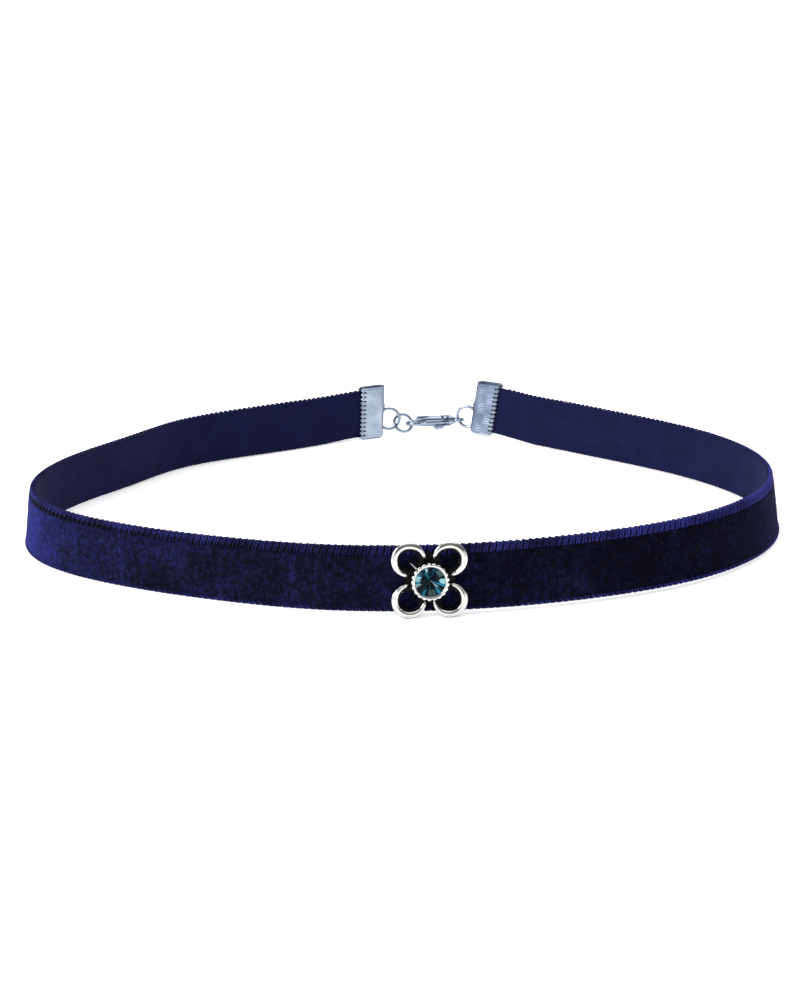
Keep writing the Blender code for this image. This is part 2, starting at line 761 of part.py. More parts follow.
def notch_level():
    """Height over the clamp's middle at which a jump ring passes the fold."""
    inner = 0.5 * RIBBON_CRUSHED + CLEARANCE
    along = JUMP_RING_RADIUS + RING_SEAT - (inner + 0.5 * CLAMP_WALL)
    return math.sqrt(JUMP_RING_RADIUS ** 2 - along ** 2)


def heading_of(end, turn):
    """Level direction from a ribbon end towards the chain, turned about the vertical."""
    return (Matrix.Rotation(turn, 3, "Z") @ end.along).normalized()


def jump_ring(name, end, turn, drop, silver):
    """Upright ring round the fold of a clamp. Gives its object, centre and heading."""
    heading = heading_of(end, turn)
    seat = end.place(RING_SEAT, 0.0, -drop)
    centre = seat + heading * JUMP_RING_RADIUS
    up = Vector((0.0, 0.0, 1.0))
    frame = frame_of(centre, heading, up, heading.cross(up))
    points, faces = ring_mesh(JUMP_RING_RADIUS, RING_WIRE_RADIUS, RING_SIDES, WIRE_SIDES)
    return solid(name, points, faces, silver, frame), centre, heading


def rim_point(centre, heading, sag, radius):
    """Point on a ring's wire, sag below its heading."""
    return centre + heading * (radius * math.cos(sag)) - Vector((0.0, 0.0, radius * math.sin(sag)))


def build_chain(left_end, right_end, silver):
    """The three rings. Gives the clasp's crown and tail points."""
    _, left_centre, left_heading = jump_ring("jump_ring_left", left_end, LEFT_RING_TURN, LEFT_RING_DROP, silver)
    right_ring = jump_ring("jump_ring_right", right_end, RIGHT_RING_TURN, RIGHT_RING_DROP, silver)
    _, right_centre, right_heading = right_ring
    left_link = rim_point(left_centre, left_heading, LEFT_RING_SAG, JUMP_RING_RADIUS)
    tail = rim_point(right_centre, right_heading, RIGHT_RING_SAG, JUMP_RING_RADIUS)
    level = tail - left_link
    level.z = 0.0
    level.normalize()
    along = level * math.cos(LINK_RING_SAG) - Vector((0.0, 0.0, math.sin(LINK_RING_SAG)))
    overlap = 2.0 * RING_WIRE_RADIUS + LINK_GAP
    link_centre = left_link + along * (LINK_RING_RADIUS - overlap)
    across = Vector((0.0, 0.0, 1.0)).cross(level)
    lifted = across * math.cos(LINK_RING_TILT) + along.cross(across) * math.sin(LINK_RING_TILT)
    frame = frame_of(link_centre, along, lifted, along.cross(lifted))
    points, faces = ring_mesh(LINK_RING_RADIUS, RING_WIRE_RADIUS, RING_SIDES, WIRE_SIDES)
    solid("link_ring", points, faces, silver, frame)
    reach = LINK_RING_RADIUS - RING_WIRE_RADIUS - HOOK_GAP - CLASP_BAR_RADIUS
    crown = link_centre + along * reach
    return crown, tail


def clasp_frame(crown, tail):
    """Local X runs from the hook's crown to the tail loop, Y is its broad side, Z its depth. Gives its length too."""
    line = tail - crown
    along = line.normalized()
    level_side = Vector((0.0, 0.0, 1.0)).cross(along).normalized()
    side = Matrix.Rotation(CLASP_ROLL, 3, along) @ level_side
    depth = along.cross(side)
    bar = CLASP_BAR_RADIUS
    reach = TAIL_LOOP_RADIUS - TAIL_LOOP_WIRE - TAIL_GAP - RING_WIRE_RADIUS
    length = line.length + bar - reach + TAIL_LOOP_RADIUS + TAIL_LOOP_WIRE
    return frame_of(crown - along * bar, along, side, depth), length


def clasp_rows(table, length):
    """A table's rows at full size, resampled along a smooth line."""
    scale = (length, CLASP_SPINE_OFFSET, CLASP_BAR_RADIUS, CLASP_BAR_RADIUS)
    rows = [[value * unit for value, unit in zip(row, scale)] for row in table]
    return [BarRow(*row) for row in smooth_rows(rows, CLASP_STATION)[1]]


def pivot_place(length):
    return Vector((LEVER_TABLE[-1].along * length, -CLASP_PIVOT_SIDE, 0.0))


def build_clasp(crown, tail, silver):
    frame, length = clasp_frame(crown, tail)
    points, faces = swept_mesh(clasp_rows(HOOK_TABLE, length), CLASP_BAR_SIDES)
    body = solid("clasp_body", points, faces, silver, frame)
    loop_place = Vector((length - TAIL_LOOP_RADIUS - TAIL_LOOP_WIRE, 0.0, 0.0))
    points, faces = ring_mesh(TAIL_LOOP_RADIUS, TAIL_LOOP_WIRE, TAIL_LOOP_SIDES, TAIL_LOOP_WIRE_SIDES)
    loop = solid("tool_tail_loop", points, faces, silver, frame @ Matrix.Translation(loop_place))
    combine(body, loop, "UNION")
    pivot = pivot_place(length)
    half = 0.5 * LEVER_HUB_THICKNESS + LEVER_GAP
    for sign in (-1.0, 1.0):
        points, faces = cheek_mesh(sign, half)
        place = frame @ Matrix.Translation(pivot)
        combine(body, solid("tool_cheek_%d" % (1 + int(sign > 0.0)), points, faces, silver, place), "UNION")
    reach = half + 0.5 * CHEEK_THICKNESS
    points, faces = disc_mesh(PIN_RADIUS, -reach, reach, PIN_SIDES)
    combine(body, solid("tool_pin", points, faces, silver, frame @ Matrix.Translation(pivot)), "UNION")
    return build_lever(frame, length, pivot, silver)


def cheek_mesh(sign, half):
    """Round-ended plate over the lever's hub, reaching back into the clasp's spine."""
    low = sign * half
    high = sign * (half + CHEEK_THICKNESS)
    root = CLASP_PIVOT_SIDE + CHEEK_ROOT_SHARE * CLASP_SPINE_OFFSET
    outline = []
    for i in range(CHEEK_BENDS + 1):
        turn = math.pi + math.pi * i / CHEEK_BENDS
        outline.append((CHEEK_RADIUS * math.cos(turn), CHEEK_RADIUS * math.sin(turn)))
    outline.append((CHEEK_FLARE * CHEEK_RADIUS, root))
    outline.append((-CHEEK_FLARE * CHEEK_RADIUS, root))
    rings = [[(x, y, level) for x, y in outline] for level in (min(low, high), max(low, high))]
    return loft(rings)


def build_lever(frame, length, pivot, silver):
    """The lever's arm and hub, with its origin on the pin."""
    rows = clasp_rows(LEVER_TABLE, length)
    rows = [row._replace(along=row.along - pivot.x, side=row.side - pivot.y) for row in rows]
    points, faces = swept_mesh(rows, CLASP_BAR_SIDES)
    place = frame @ Matrix.Translation(pivot)
    lever = solid("clasp_lever", points, faces, silver, place)
    half = 0.5 * LEVER_HUB_THICKNESS
    points, faces = disc_mesh(LEVER_HUB_RADIUS, -half, half, LEVER_HUB_SIDES)
    combine(lever, solid("tool_lever_hub", points, faces, silver, place), "UNION")
    points, faces = disc_mesh(PIN_RADIUS + PIN_CLEARANCE, -2.0 * half, 2.0 * half, PIN_SIDES)
    combine(lever, solid("tool_lever_bore", points, faces, silver, place), "DIFFERENCE")
    return lever


def main():
    clear_scene()
    velvet_finish = material("navy_velvet", NAVY, NAVY_ROUGHNESS, 0.0)
    antique = material("antique_silver", ANTIQUE_SILVER, ANTIQUE_ROUGHNESS, 1.0)
    steel = material("pale_steel", PALE_STEEL, STEEL_ROUGHNESS, 1.0)
    teal = material("teal_glass", TEAL, TEAL_ROUGHNESS, 0.0)
    ribbon = Ribbon()
    velvet = build_ribbon(ribbon, velvet_finish)
    frame = flower_frame(ribbon)
    drill_ribbon(velvet, frame, velvet_finish)
    build_flower(frame, antique)
    build_stone(frame, teal)
    build_washer(frame, antique)
    left_end = RibbonEnd(ribbon, right=False)
    right_end = RibbonEnd(ribbon, right=True)
    build_clamp("clamp_left", left_end, LEFT_RING_DROP, steel, ribbed=False)
    build_clamp("clamp_right", right_end, RIGHT_RING_DROP, steel, ribbed=True)
    crown, tail = build_chain(left_end, right_end, steel)
    build_clasp(crown, tail, steel)


main()
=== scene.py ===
import math
from collections import namedtuple

import bmesh
import bpy
import numpy as np
from mathutils import Matrix, Vector, noise


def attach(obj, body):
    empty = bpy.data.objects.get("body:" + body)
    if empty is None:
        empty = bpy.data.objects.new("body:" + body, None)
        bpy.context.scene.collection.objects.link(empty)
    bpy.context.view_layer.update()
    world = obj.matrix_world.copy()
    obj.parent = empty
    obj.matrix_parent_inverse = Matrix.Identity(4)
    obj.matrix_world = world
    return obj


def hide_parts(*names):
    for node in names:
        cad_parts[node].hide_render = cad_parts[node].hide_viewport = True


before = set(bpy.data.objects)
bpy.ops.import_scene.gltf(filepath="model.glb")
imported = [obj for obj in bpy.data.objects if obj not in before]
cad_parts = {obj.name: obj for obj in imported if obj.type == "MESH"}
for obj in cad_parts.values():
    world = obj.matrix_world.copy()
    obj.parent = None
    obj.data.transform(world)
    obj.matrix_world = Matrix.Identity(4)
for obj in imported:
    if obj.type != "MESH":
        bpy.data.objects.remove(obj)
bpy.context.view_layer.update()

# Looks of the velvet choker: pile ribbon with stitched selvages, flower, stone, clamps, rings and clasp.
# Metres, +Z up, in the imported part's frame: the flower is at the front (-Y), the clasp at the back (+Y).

MM = 0.001

# Line of the ribbon, as the part's source has it
LOOP_WIDTH = 127.0 * MM
LOOP_DEPTH = 103.0 * MM
RIBBON_HEIGHT = 10.0 * MM
RIBBON_THICKNESS = 1.2 * MM
RIBBON_CRUSHED = 0.7 * MM
RIBBON_STATION = 3.0 * MM
FINE_STATION = 0.75 * MM
SPLINE_STEPS = 40
END_RISE_LENGTH = 16.0 * MM
LEFT_END_LIFT = 0.45 * MM
RIGHT_END_LIFT = 1.05 * MM
LEFT_END_ROLL = math.radians(-2.0)
RIGHT_END_ROLL = math.radians(9.0)
RIBBON_SETBACK = 1.3 * MM
CLEARANCE = 0.3 * MM
FLOWER_DROP = 0.55 * MM
FLOWER_SHARE = 0.0252

LoopRow = namedtuple("LoopRow", ("x", "y", "lean"))
BarRow = namedtuple("BarRow", ("along", "side", "half_width", "half_depth"))
FibreKind = namedtuple("FibreKind", ("count", "length", "radius", "seed", "low", "high"))

# Shares: x of LOOP_WIDTH, y of LOOP_DEPTH, lean of RIBBON_HEIGHT that the top edge leans out.
LOOP_TABLE = [LoopRow(*row) for row in (
    (-0.044, 0.492, 0.00), (-0.104, 0.452, 0.00), (-0.162, 0.406, 0.05),
    (-0.260, 0.332, 0.00), (-0.346, 0.249, -0.08), (-0.409, 0.130, -0.12),
    (-0.473, -0.002, -0.15), (-0.501, -0.140, -0.14), (-0.474, -0.268, -0.10),
    (-0.363, -0.386, -0.07), (-0.236, -0.453, -0.08), (-0.102, -0.495, -0.11),
    (0.042, -0.497, -0.13), (0.203, -0.452, -0.18), (0.376, -0.345, -0.21),
    (0.480, -0.188, -0.18), (0.501, -0.004, -0.12), (0.441, 0.166, -0.03),
    (0.331, 0.305, 0.04), (0.200, 0.441, 0.06), (0.157, 0.478, 0.00),
    (0.1225, 0.504, 0.00),
)]

# Velvet
BAND_STATION = 0.30 * MM
SELVAGE_HEIGHT = 1.45 * MM
SELVAGE_DEPTH = 0.26 * MM
WARP_PITCH = 0.34 * MM
WEFT_PITCH = 0.30 * MM
STITCH_PITCH = 1.06 * MM
STITCH_RADIUS = 0.15 * MM
LOWER_STITCH_RADIUS = 0.10 * MM
# The two legs of a stitch, as shares of its width, slant, drop and thread radius
STITCH_CLIMB = ((-1.0, 1.0, 1.0, -1.0), (-1.15, 0.8, 0.86, 0.35), (-1.15, 0.4, 0.48, 0.55),
                (-0.90, 0.0, 0.16, 0.35))
STITCH_FALL = ((1.05, 0.0, 0.20, 0.25), (1.10, 0.4, 0.52, 0.45), (1.0, 0.8, 0.90, 0.25),
               (0.90, 1.0, 1.0, -1.0))
FIBRES = FibreKind(34000, 0.22 * MM, 0.030 * MM, 11, -4.8 * MM, 0.5 * RIBBON_HEIGHT - SELVAGE_HEIGHT)
GLINTS = FibreKind(150, 0.40 * MM, 0.04 * MM, 5, -4.6 * MM, 3.4 * MM)
# Painted sheen on the pile, from the loop's left side to its right: lightest and bluest at the left, where
# the light falls, none at the right
PAINTED_SHEEN_STOPS = ((0.0, 0.26), (0.07, 0.12), (0.20, 0.05), (0.50, 0.04), (0.72, 0.0), (1.0, 0.0))

# Material slots of the band, and of the flower and the clamps
PILE, WOVEN, SELVAGE = 0, 1, 2
METAL, BLACK = 0, 1

# Flower
PETAL_OUTER_RADIUS = 2.7 * MM
PETAL_WIRE_RADIUS = 0.50 * MM
PETAL_SIDE_OFFSET = 3.02 * MM
PETAL_RISE = 3.05 * MM
PETAL_OPENING = math.radians(100.0)
HUB_RADIUS = 2.3 * MM
HUB_THICKNESS = 0.7 * MM
BEZEL_RADIUS = 2.85 * MM
BEZEL_WALL = 0.5 * MM
BEZEL_HEIGHT = 1.5 * MM
BEZEL_TEETH = 21
BURR_TURN = math.radians(136.8)

# Painted reflections: foil tone of each facet, counted from the right: 0 deep shade, 1 teal, 2 cyan light, 3
# white flash, 4 grey reflection
OUTER_PAINTED_REFLECTIONS = "30444110031142332300120444121023"
INNER_PAINTED_REFLECTIONS = "00000010102110010000100110003020"
PAINTED_REFLECTION_FOILS = (
    ("foil_painted_dark", (0.0003, 0.005, 0.011), 0.3),
    ("foil_teal", (0.0015, 0.046, 0.088), 0.3),
    ("foil_painted_cyan_light", (0.04, 0.38, 0.60), 0.25),
    ("foil_painted_flash", (1.0, 1.0, 1.0), 0.25),
    ("foil_painted_grey_reflection", (0.15, 0.155, 0.16), 0.3),
)
# The girdle's height over the stone's radius, and a smoothing angle in degrees that keeps facets flat
GIRDLE_SHARE = 0.10
FACETED = 1.0

# Clamps
CLAMP_HEIGHT = 10.9 * MM
CLAMP_LEG = 4.4 * MM
CLAMP_WALL = 0.45 * MM
CLAMP_INNER = 0.5 * RIBBON_CRUSHED + CLEARANCE
CLAMP_OUTER = CLAMP_INNER + CLAMP_WALL
CLAMP_TEETH = 12
LEAF_STEPS = 22
FOLD_STEPS = 15
# Columns of the clamp's outline at its leaf ends, given the black finish in the gaps between the teeth as
# painted shade
SHADED_GAP_COLUMNS = [start + step for start in (2, 2 * LEAF_STEPS + FOLD_STEPS) for step in range(3)]
CLAMP_NOTCH_HEIGHT = 2.0 * MM
CLAMP_NOTCH_START = 0.2 * MM

# Rings
JUMP_RING_RADIUS = 2.2 * MM
LINK_RING_RADIUS = 1.95 * MM
RING_WIRE_RADIUS = 0.28 * MM
RING_PLATING = 0.04 * MM
RING_SEAT = 0.05 * MM
LINK_GAP = 0.39 * MM
HOOK_GAP = 0.24 * MM
TAIL_GAP = 0.2 * MM
LEFT_RING_TURN = math.radians(-20.0)
RIGHT_RING_TURN = math.radians(7.0)
LEFT_RING_DROP = 1.7 * MM
RIGHT_RING_DROP = 2.35 * MM
LEFT_RING_SAG = math.radians(22.0)
RIGHT_RING_SAG = math.radians(25.0)
LINK_RING_SAG = math.radians(12.0)
LINK_RING_TILT = math.radians(54.0)

# Clasp
CLASP_SPINE_OFFSET = 1.7 * MM
CLASP_PIVOT_SIDE = 1.1 * MM
CLASP_BAR_RADIUS = 0.5 * MM
CLASP_ROLL = math.radians(-10.0)
TAIL_LOOP_RADIUS = 1.0 * MM
TAIL_LOOP_WIRE = 0.34 * MM
LEVER_HUB_RADIUS = 0.55 * MM
LEVER_HUB_THICKNESS = 1.1 * MM
LEVER_GAP = 0.16 * MM
CHEEK_RADIUS = 0.62 * MM
CHEEK_THICKNESS = 0.35 * MM
PIN_RADIUS = 0.2 * MM
PIN_CLEARANCE = 0.08 * MM
HOOK_TABLE = [BarRow(*row) for row in (
    (0.235, -0.98, 0.80, 0.95), (0.140, -1.02, 0.88, 0.90), (0.072, -0.64, 0.92, 0.85),
    (0.0435, 0.00, 0.95, 0.90), (0.072, 0.64, 0.92, 0.85), (0.150, 0.98, 1.10, 1.05),
    (0.340, 1.02, 1.50, 2.00), (0.520, 0.86, 1.80, 2.20), (0.680, 0.52, 2.00, 2.30),
    (0.790, 0.16, 1.50, 2.00), (0.860, 0.00, 0.80, 1.10),
)]
LEVER_TABLE = [BarRow(*row) for row in (
    (0.290, -0.98, 0.72, 0.90), (0.380, -1.00, 0.90, 1.10), (0.480, -1.10, 1.35, 1.10),
    (0.580, -1.02, 1.45, 1.10), (0.680, -0.72, 0.90, 1.10),
)]

# Camera, from the photograph's perspective with the ribbon lying level
CAMERA_LENS = 57.95
CAMERA_SENSOR = 36.0
CAMERA_X = -1.08 * MM
CAMERA_BACK = 323.5 * MM
CAMERA_RISE = 86.51 * MM
CAMERA_HINGE_Y = 45.3 * MM
CAMERA_PITCH = math.radians(17.0)
TILT_REACH = 96.5 * MM

# Room, in metres. The world's levels are the height from horizon to zenith, and its grey
SWEEP_START = 0.6
SWEEP_RADIUS = 0.6
SWEEP_TOP = 2.0
SWEEP_HALF_WIDTH = 1.8
WORLD_LEVELS = ((0.0, 0.95), (0.20, 0.95), (0.27, 0.06), (0.50, 0.06), (0.60, 0.18), (0.75, 0.40))


# Meshes

def new_mesh(name, points, faces):
    mesh = bpy.data.meshes.new(name)
    mesh.from_pydata(points, [], faces)
    return mesh


def new_object(name, data):
    made = bpy.data.objects.new(name, data)
    bpy.context.scene.collection.objects.link(made)
    return made


def turn_outward(mesh):
    """All faces of a closed mesh turned outwards."""
    work = bmesh.new()
    work.from_mesh(mesh)
    bmesh.ops.recalc_face_normals(work, faces=work.faces)
    work.to_mesh(mesh)
    work.free()


class Skin:
    """Points and faces of one piece, gathered part by part."""

    def __init__(self):
        self.points = []
        self.faces = []
        self.slots = []
        self.uvs = []
        self.count = 0

    def add(self, points, faces, slot=METAL, uv=None):
        points = np.asarray(points, dtype=float).reshape(-1, 3)
        self.points.append(points)
        self.uvs.append(np.zeros((len(points), 2)) if uv is None else np.asarray(uv, dtype=float))
        self.faces += [tuple(int(i) + self.count for i in face) for face in faces]
        self.slots += [slot] * len(faces) if isinstance(slot, int) else list(slot)
        self.count += len(points)

    def make(self, name, finishes, body, place=None, smooth_angle=50.0):
        mesh = new_mesh(name, np.concatenate(self.points).tolist(), self.faces)
        for finish in finishes:
            mesh.materials.append(finish)
        mesh.polygons.foreach_set("material_index", self.slots)
        layer = mesh.uv_layers.new(name="flat")
        corners = np.zeros(len(mesh.loops), dtype=np.int64)
        mesh.loops.foreach_get("vertex_index", corners)
        layer.data.foreach_set("uv", np.concatenate(self.uvs)[corners].ravel())
        turn_outward(mesh)
        mesh.shade_smooth()
        mesh.set_sharp_from_angle(angle=math.radians(smooth_angle))
        if place is not None:
            mesh.transform(place)
        piece = new_object(name, mesh)
        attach(piece, body)
        return piece


def grid_faces(rows, columns, close_rows=False, close_columns=False):
    """Quads over points laid out row by row."""
    faces = []
    for i in range(rows if close_rows else rows - 1):
        for j in range(columns if close_columns else columns - 1):
            k = (i + 1) % rows
            m = (j + 1) % columns
            faces.append((i * columns + j, i * columns + m, k * columns + m, k * columns + j))
    return faces


def bar_faces(rows, columns):
    """Quads round a bar laid out row by row, then the faces at its two ends."""
    ends = [tuple(range(columns)), tuple(range((rows - 1) * columns, rows * columns))]
    return grid_faces(rows, columns, close_columns=True) + ends


def turns_round(count):
    """Even turns round a circle."""
    return 2.0 * math.pi * np.arange(count) / count


def unit(vectors):
    return vectors / np.linalg.norm(vectors, axis=-1, keepdims=True)


def tube(path, radii, sides, up, closed=False):
    """Round tube along a path. Its seam faces away from the up direction."""
    path = np.asarray(path, dtype=float)
    radii = np.broadcast_to(np.asarray(radii, dtype=float), (len(path),))[:, None, None]
    if closed:
        ahead = np.roll(path, -1, axis=0) - np.roll(path, 1, axis=0)
        faces = grid_faces(len(path), sides, close_rows=True, close_columns=True)
    else:
        ahead = np.gradient(path, axis=0)
        faces = bar_faces(len(path), sides)
    ahead = unit(ahead)
    side = unit(np.cross(np.asarray(up, dtype=float), ahead))
    over = np.cross(ahead, side)
    turns = turns_round(sides)[None, :, None]
    rim = radii * np.cos(turns) * side[:, None, :] + radii * np.sin(turns) * over[:, None, :]
    return (path[:, None, :] + rim).reshape(-1, 3), faces


def smooth_rows(table, spacing):
    """Natural cubic spline through the rows, resampled evenly along its first two columns."""
    rows = np.array(table, dtype=float)
    steps = np.hypot(np.diff(rows[:, 0]), np.diff(rows[:, 1]))
    knots = np.concatenate([[0.0], np.cumsum(steps)])
    count = len(rows)
    system = np.zeros((count, count))
    right = np.zeros((count, rows.shape[1]))
    system[0, 0] = 1.0
    system[-1, -1] = 1.0
    for i in range(1, count - 1):
        before = knots[i] - knots[i - 1]
        after = knots[i + 1] - knots[i]
        system[i, i - 1] = before
        system[i, i] = 2.0 * (before + after)
        system[i, i + 1] = after
        slope_after = (rows[i + 1] - rows[i]) / after
        slope_before = (rows[i] - rows[i - 1]) / before
        right[i] = 6.0 * (slope_after - slope_before)
    bends = np.linalg.solve(system, right)

    def value(at):
        i = int(np.clip(np.searchsorted(knots, at) - 1, 0, count - 2))
        width = knots[i + 1] - knots[i]
        a = (knots[i + 1] - at) / width
        b = 1.0 - a
        curve = (a ** 3 - a) * bends[i] + (b ** 3 - b) * bends[i + 1]
        return a * rows[i] + b * rows[i + 1] + curve * width ** 2 / 6.0

    fine = np.array([value(at) for at in np.linspace(knots[0], knots[-1], SPLINE_STEPS * count)])
    runs = np.concatenate([[0.0], np.cumsum(np.hypot(np.diff(fine[:, 0]), np.diff(fine[:, 1])))])
    pieces = max(4, int(round(runs[-1] / spacing)))
    wanted = np.linspace(0.0, runs[-1], pieces + 1)
    columns = [np.interp(wanted, runs, fine[:, k]) for k in range(fine.shape[1])]
    return wanted, np.stack(columns, axis=1)


def ease(share):
    share = np.clip(share, 0.0, 1.0)
    return share * share * (3.0 - 2.0 * share)


def bump(distance, reach):
    """1 at no distance, easing to 0 at reach."""
    return ease(1.0 - np.abs(distance) / reach)


class Ribbon:
    """The loop's line from above and its frame at any run. Runs, outs and ups may be arrays."""

    def __init__(self, station):
        scaled = [(row.x * LOOP_WIDTH, row.y * LOOP_DEPTH, row.lean) for row in LOOP_TABLE]
        self.runs, rows = smooth_rows(scaled, station)
        self.plan = rows[:, :2]
        self.leans = rows[:, 2]
        self.station = station
        self.length = self.runs[-1]
        self.back = max(LOOP_TABLE[2].y, LOOP_TABLE[-3].y) * LOOP_DEPTH
        self.front = min(row.y for row in LOOP_TABLE) * LOOP_DEPTH

    def at(self, run):
        run = np.asarray(run, dtype=float)
        return np.stack([np.interp(run, self.runs, self.plan[:, k]) for k in (0, 1)] + [0.0 * run], axis=-1)

    def tangent(self, run):
        near = np.clip(run, 0.5 * self.station, self.length - 0.5 * self.station)
        return unit(self.at(near + 0.5 * self.station) - self.at(near - 0.5 * self.station))

    def outward(self, run):
        tangent = self.tangent(run)
        return np.stack([tangent[..., 1], -tangent[..., 0], 0.0 * tangent[..., 0]], axis=-1)

    def near_ends(self, run):
        """1 at the left and at the right end, easing to 0."""
        return [ease(1.0 - from_end / END_RISE_LENGTH) for from_end in (run, self.length - run)]

    def base(self, run):
        """Height of the lower edge: the flower lifts the front, and the clamps lift the ends."""
        slope = (self.back - self.at(run)[..., 1]) / (self.back - self.front)
        left, right = self.near_ends(run)
        return FLOWER_DROP * np.maximum(slope, 0.0) + left * LEFT_END_LIFT + right * RIGHT_END_LIFT

    def roll(self, run):
        left, right = self.near_ends(run)
        return left * math.tan(LEFT_END_ROLL) - right * math.tan(RIGHT_END_ROLL)

    def point(self, run, out, up):
        run, out, up = np.broadcast_arrays(*(np.asarray(value, float) for value in (run, out, up)))
        lean = np.interp(run, self.runs, self.leans)
        place = self.at(run)
        place = place + self.outward(run) * (out + lean * up)[..., None]
        place = place + self.tangent(run) * (self.roll(run) * up)[..., None]
        place[..., 2] = self.base(run) + 0.5 * RIBBON_HEIGHT + up
        return place


class RibbonEnd:
    """Local frame of a ribbon end: along points towards the chain, out away from the neck."""

    def __init__(self, ribbon, right):
        run = ribbon.length if right else 0.0
        sign = 1.0 if right else -1.0
        self.origin = Vector(ribbon.point(run, 0.0, 0.0))
        self.along = Vector(ribbon.tangent(run)) * sign
        self.out = Vector(ribbon.outward(run))
        self.roll = float(ribbon.roll(run)) * sign

    def place(self, along, out, up):
        flat = self.origin + self.along * (along + self.roll * up) + self.out * out
        return Vector((flat.x, flat.y, self.origin.z + up))


def frame_of(origin, x_axis, y_axis, z_axis):
    """World matrix with the given origin and axes."""
    matrix = Matrix.Identity(4)
    for column, axis in enumerate((x_axis, y_axis, z_axis)):
        for row in range(3):
            matrix[row][column] = axis[row]
    matrix.translation = origin
    return matrix


# Finishes

def add_node(tree, kind, inputs=None, **settings):
    made = tree.nodes.new(kind)
    for key, value in settings.items():
        setattr(made, key, value)
    for key, value in (inputs or {}).items():
        if isinstance(value, bpy.types.NodeSocket):
            tree.links.new(value, made.inputs[key])
        else:
            made.inputs[key].default_value = value
    return made


def ramp(tree, factor, stops):
    """Colour ramp whose stops each have a place and a colour, or one number for a grey."""
    made = add_node(tree, "ShaderNodeValToRGB", {"Fac": factor})
    elements = made.color_ramp.elements
    while len(elements) < len(stops):
        elements.new(0.5)
    for element, (at, colour) in zip(elements, stops):
        element.position = at
        element.color = (*(colour if isinstance(colour, tuple) else (colour,) * 3), 1.0)
    return made.outputs["Color"]


def dimmed(colour, share):
    return tuple(share * value for value in colour)


class Finish:
    """Material with its Principled shader: plain values set on its sockets, patterns fed to them."""

    def __init__(self, name, **values):
        self.material = bpy.data.materials.new(name)
        self.material.use_nodes = True
        self.tree = self.material.node_tree
        self.shader = self.tree.nodes["Principled BSDF"]
        self.place = add_node(self.tree, "ShaderNodeTexCoord").outputs["Object"]
        for key, value in values.items():
            self.shader.inputs[key.replace("_", " ")].default_value = value

    def noise(self, scale, detail, rough, stretch=(1.0, 1.0, 1.0)):
        mapped = add_node(self.tree, "ShaderNodeMapping", {"Vector": self.place, "Scale": stretch})
        inputs = {"Vector": mapped.outputs["Vector"], "Scale": scale, "Detail": detail, "Roughness": rough}
        return add_node(self.tree, "ShaderNodeTexNoise", inputs).outputs["Fac"]

    def math(self, kind, a, b=0.0):
        return add_node(self.tree, "ShaderNodeMath", {0: a, 1: b}, operation=kind).outputs["Value"]

    def total(self, *terms):
        """Sum of values, each times its weight."""
        parts = [value if weight == 1.0 else self.math("MULTIPLY", value, weight) for value, weight in terms]
        made = parts[0]
        for part in parts[1:]:
            made = self.math("ADD", made, part)
        return made

    def axis(self, vector, name):
        return add_node(self.tree, "ShaderNodeSeparateXYZ", {"Vector": vector}).outputs[name]

    def across(self):
        """0 at the loop's left side, 1 at its right."""
        reach = 0.5 * LOOP_WIDTH
        inputs = {"Value": self.axis(self.place, "X"), "From Min": -reach, "From Max": reach}
        return add_node(self.tree, "ShaderNodeMapRange", inputs).outputs["Result"]

    def ramp(self, factor, *stops):
        return ramp(self.tree, factor, stops)

    def painted_sheen(self):
        """Painted sheen: most at the loop's left side, where the light falls, hardly any at its right."""
        return self.ramp(self.across(), *PAINTED_SHEEN_STOPS)

    def feed(self, socket, value):
        self.tree.links.new(value, self.shader.inputs[socket])

    def colour(self, factor, *stops):
        self.feed("Base Color", self.ramp(factor, *stops))

    def metal(self, colour, *stops):
        """Colour of a metal, dimmed by the stops where its surface turns away: painted dark reflection at its
        edges.
        """
        facing = add_node(self.tree, "ShaderNodeLayerWeight", {"Blend": 0.5}).outputs["Facing"]
        mixed = add_node(self.tree, "ShaderNodeMix", {"Factor": 1.0}, data_type="RGBA", blend_type="MULTIPLY")
        sockets = [socket for socket in mixed.inputs if socket.type == "RGBA"]
        self.tree.links.new(colour, sockets[0])
        self.tree.links.new(self.ramp(facing, *stops), sockets[1])
        self.feed("Base Color", [socket for socket in mixed.outputs if socket.type == "RGBA"][0])

    def relief(self, height, strength, distance):
        inputs = {"Height": height, "Strength": strength, "Distance": distance}
        self.feed("Normal", add_node(self.tree, "ShaderNodeBump", inputs).outputs["Normal"])


def pile_finish():
    """Crushed navy velvet, mottled dark and blue, with painted sheen that makes it bluer towards the loop's
    left side, where the light falls, and painted highlights along soft folds.
    """
    look = Finish("velvet_pile", Roughness=0.9, Specular_IOR_Level=0.04, Sheen_Weight=0.15,
                  Sheen_Roughness=0.38, Sheen_Tint=(0.06, 0.07, 0.60, 1.0))
    wide = look.noise(130.0, 3.0, 0.5)
    patches = look.noise(1150.0, 4.0, 0.62)
    streaks = look.noise(3000.0, 3.0, 0.6, (1.0, 1.0, 0.6))
    fine = look.noise(5200.0, 2.0, 0.6)
    close = look.total((patches, 0.55), (streaks, 0.45))
    # Painted highlights: thin lighter streaks along soft folds of the pile.
    painted_fold_highlights = look.ramp(look.noise(330.0, 1.0, 0.4, (1.0, 1.0, 0.10)), (0.61, 0.0), (0.64, 0.05), (0.67, 0.0))
    shade = look.total((wide, 0.25), (close, 0.75), (look.painted_sheen(), 1.0), (painted_fold_highlights, 1.0))
    look.colour(shade, (0.40, (0.0016, 0.0017, 0.004)), (0.52, (0.0030, 0.0032, 0.010)),
                (0.61, (0.0075, 0.0085, 0.036)), (0.73, (0.0150, 0.0160, 0.110)),
                (0.88, (0.0260, 0.0270, 0.240)))
    look.relief(look.total((patches, 1.0), (fine, 0.35)), 0.55, 0.25 * MM)
    return look.material


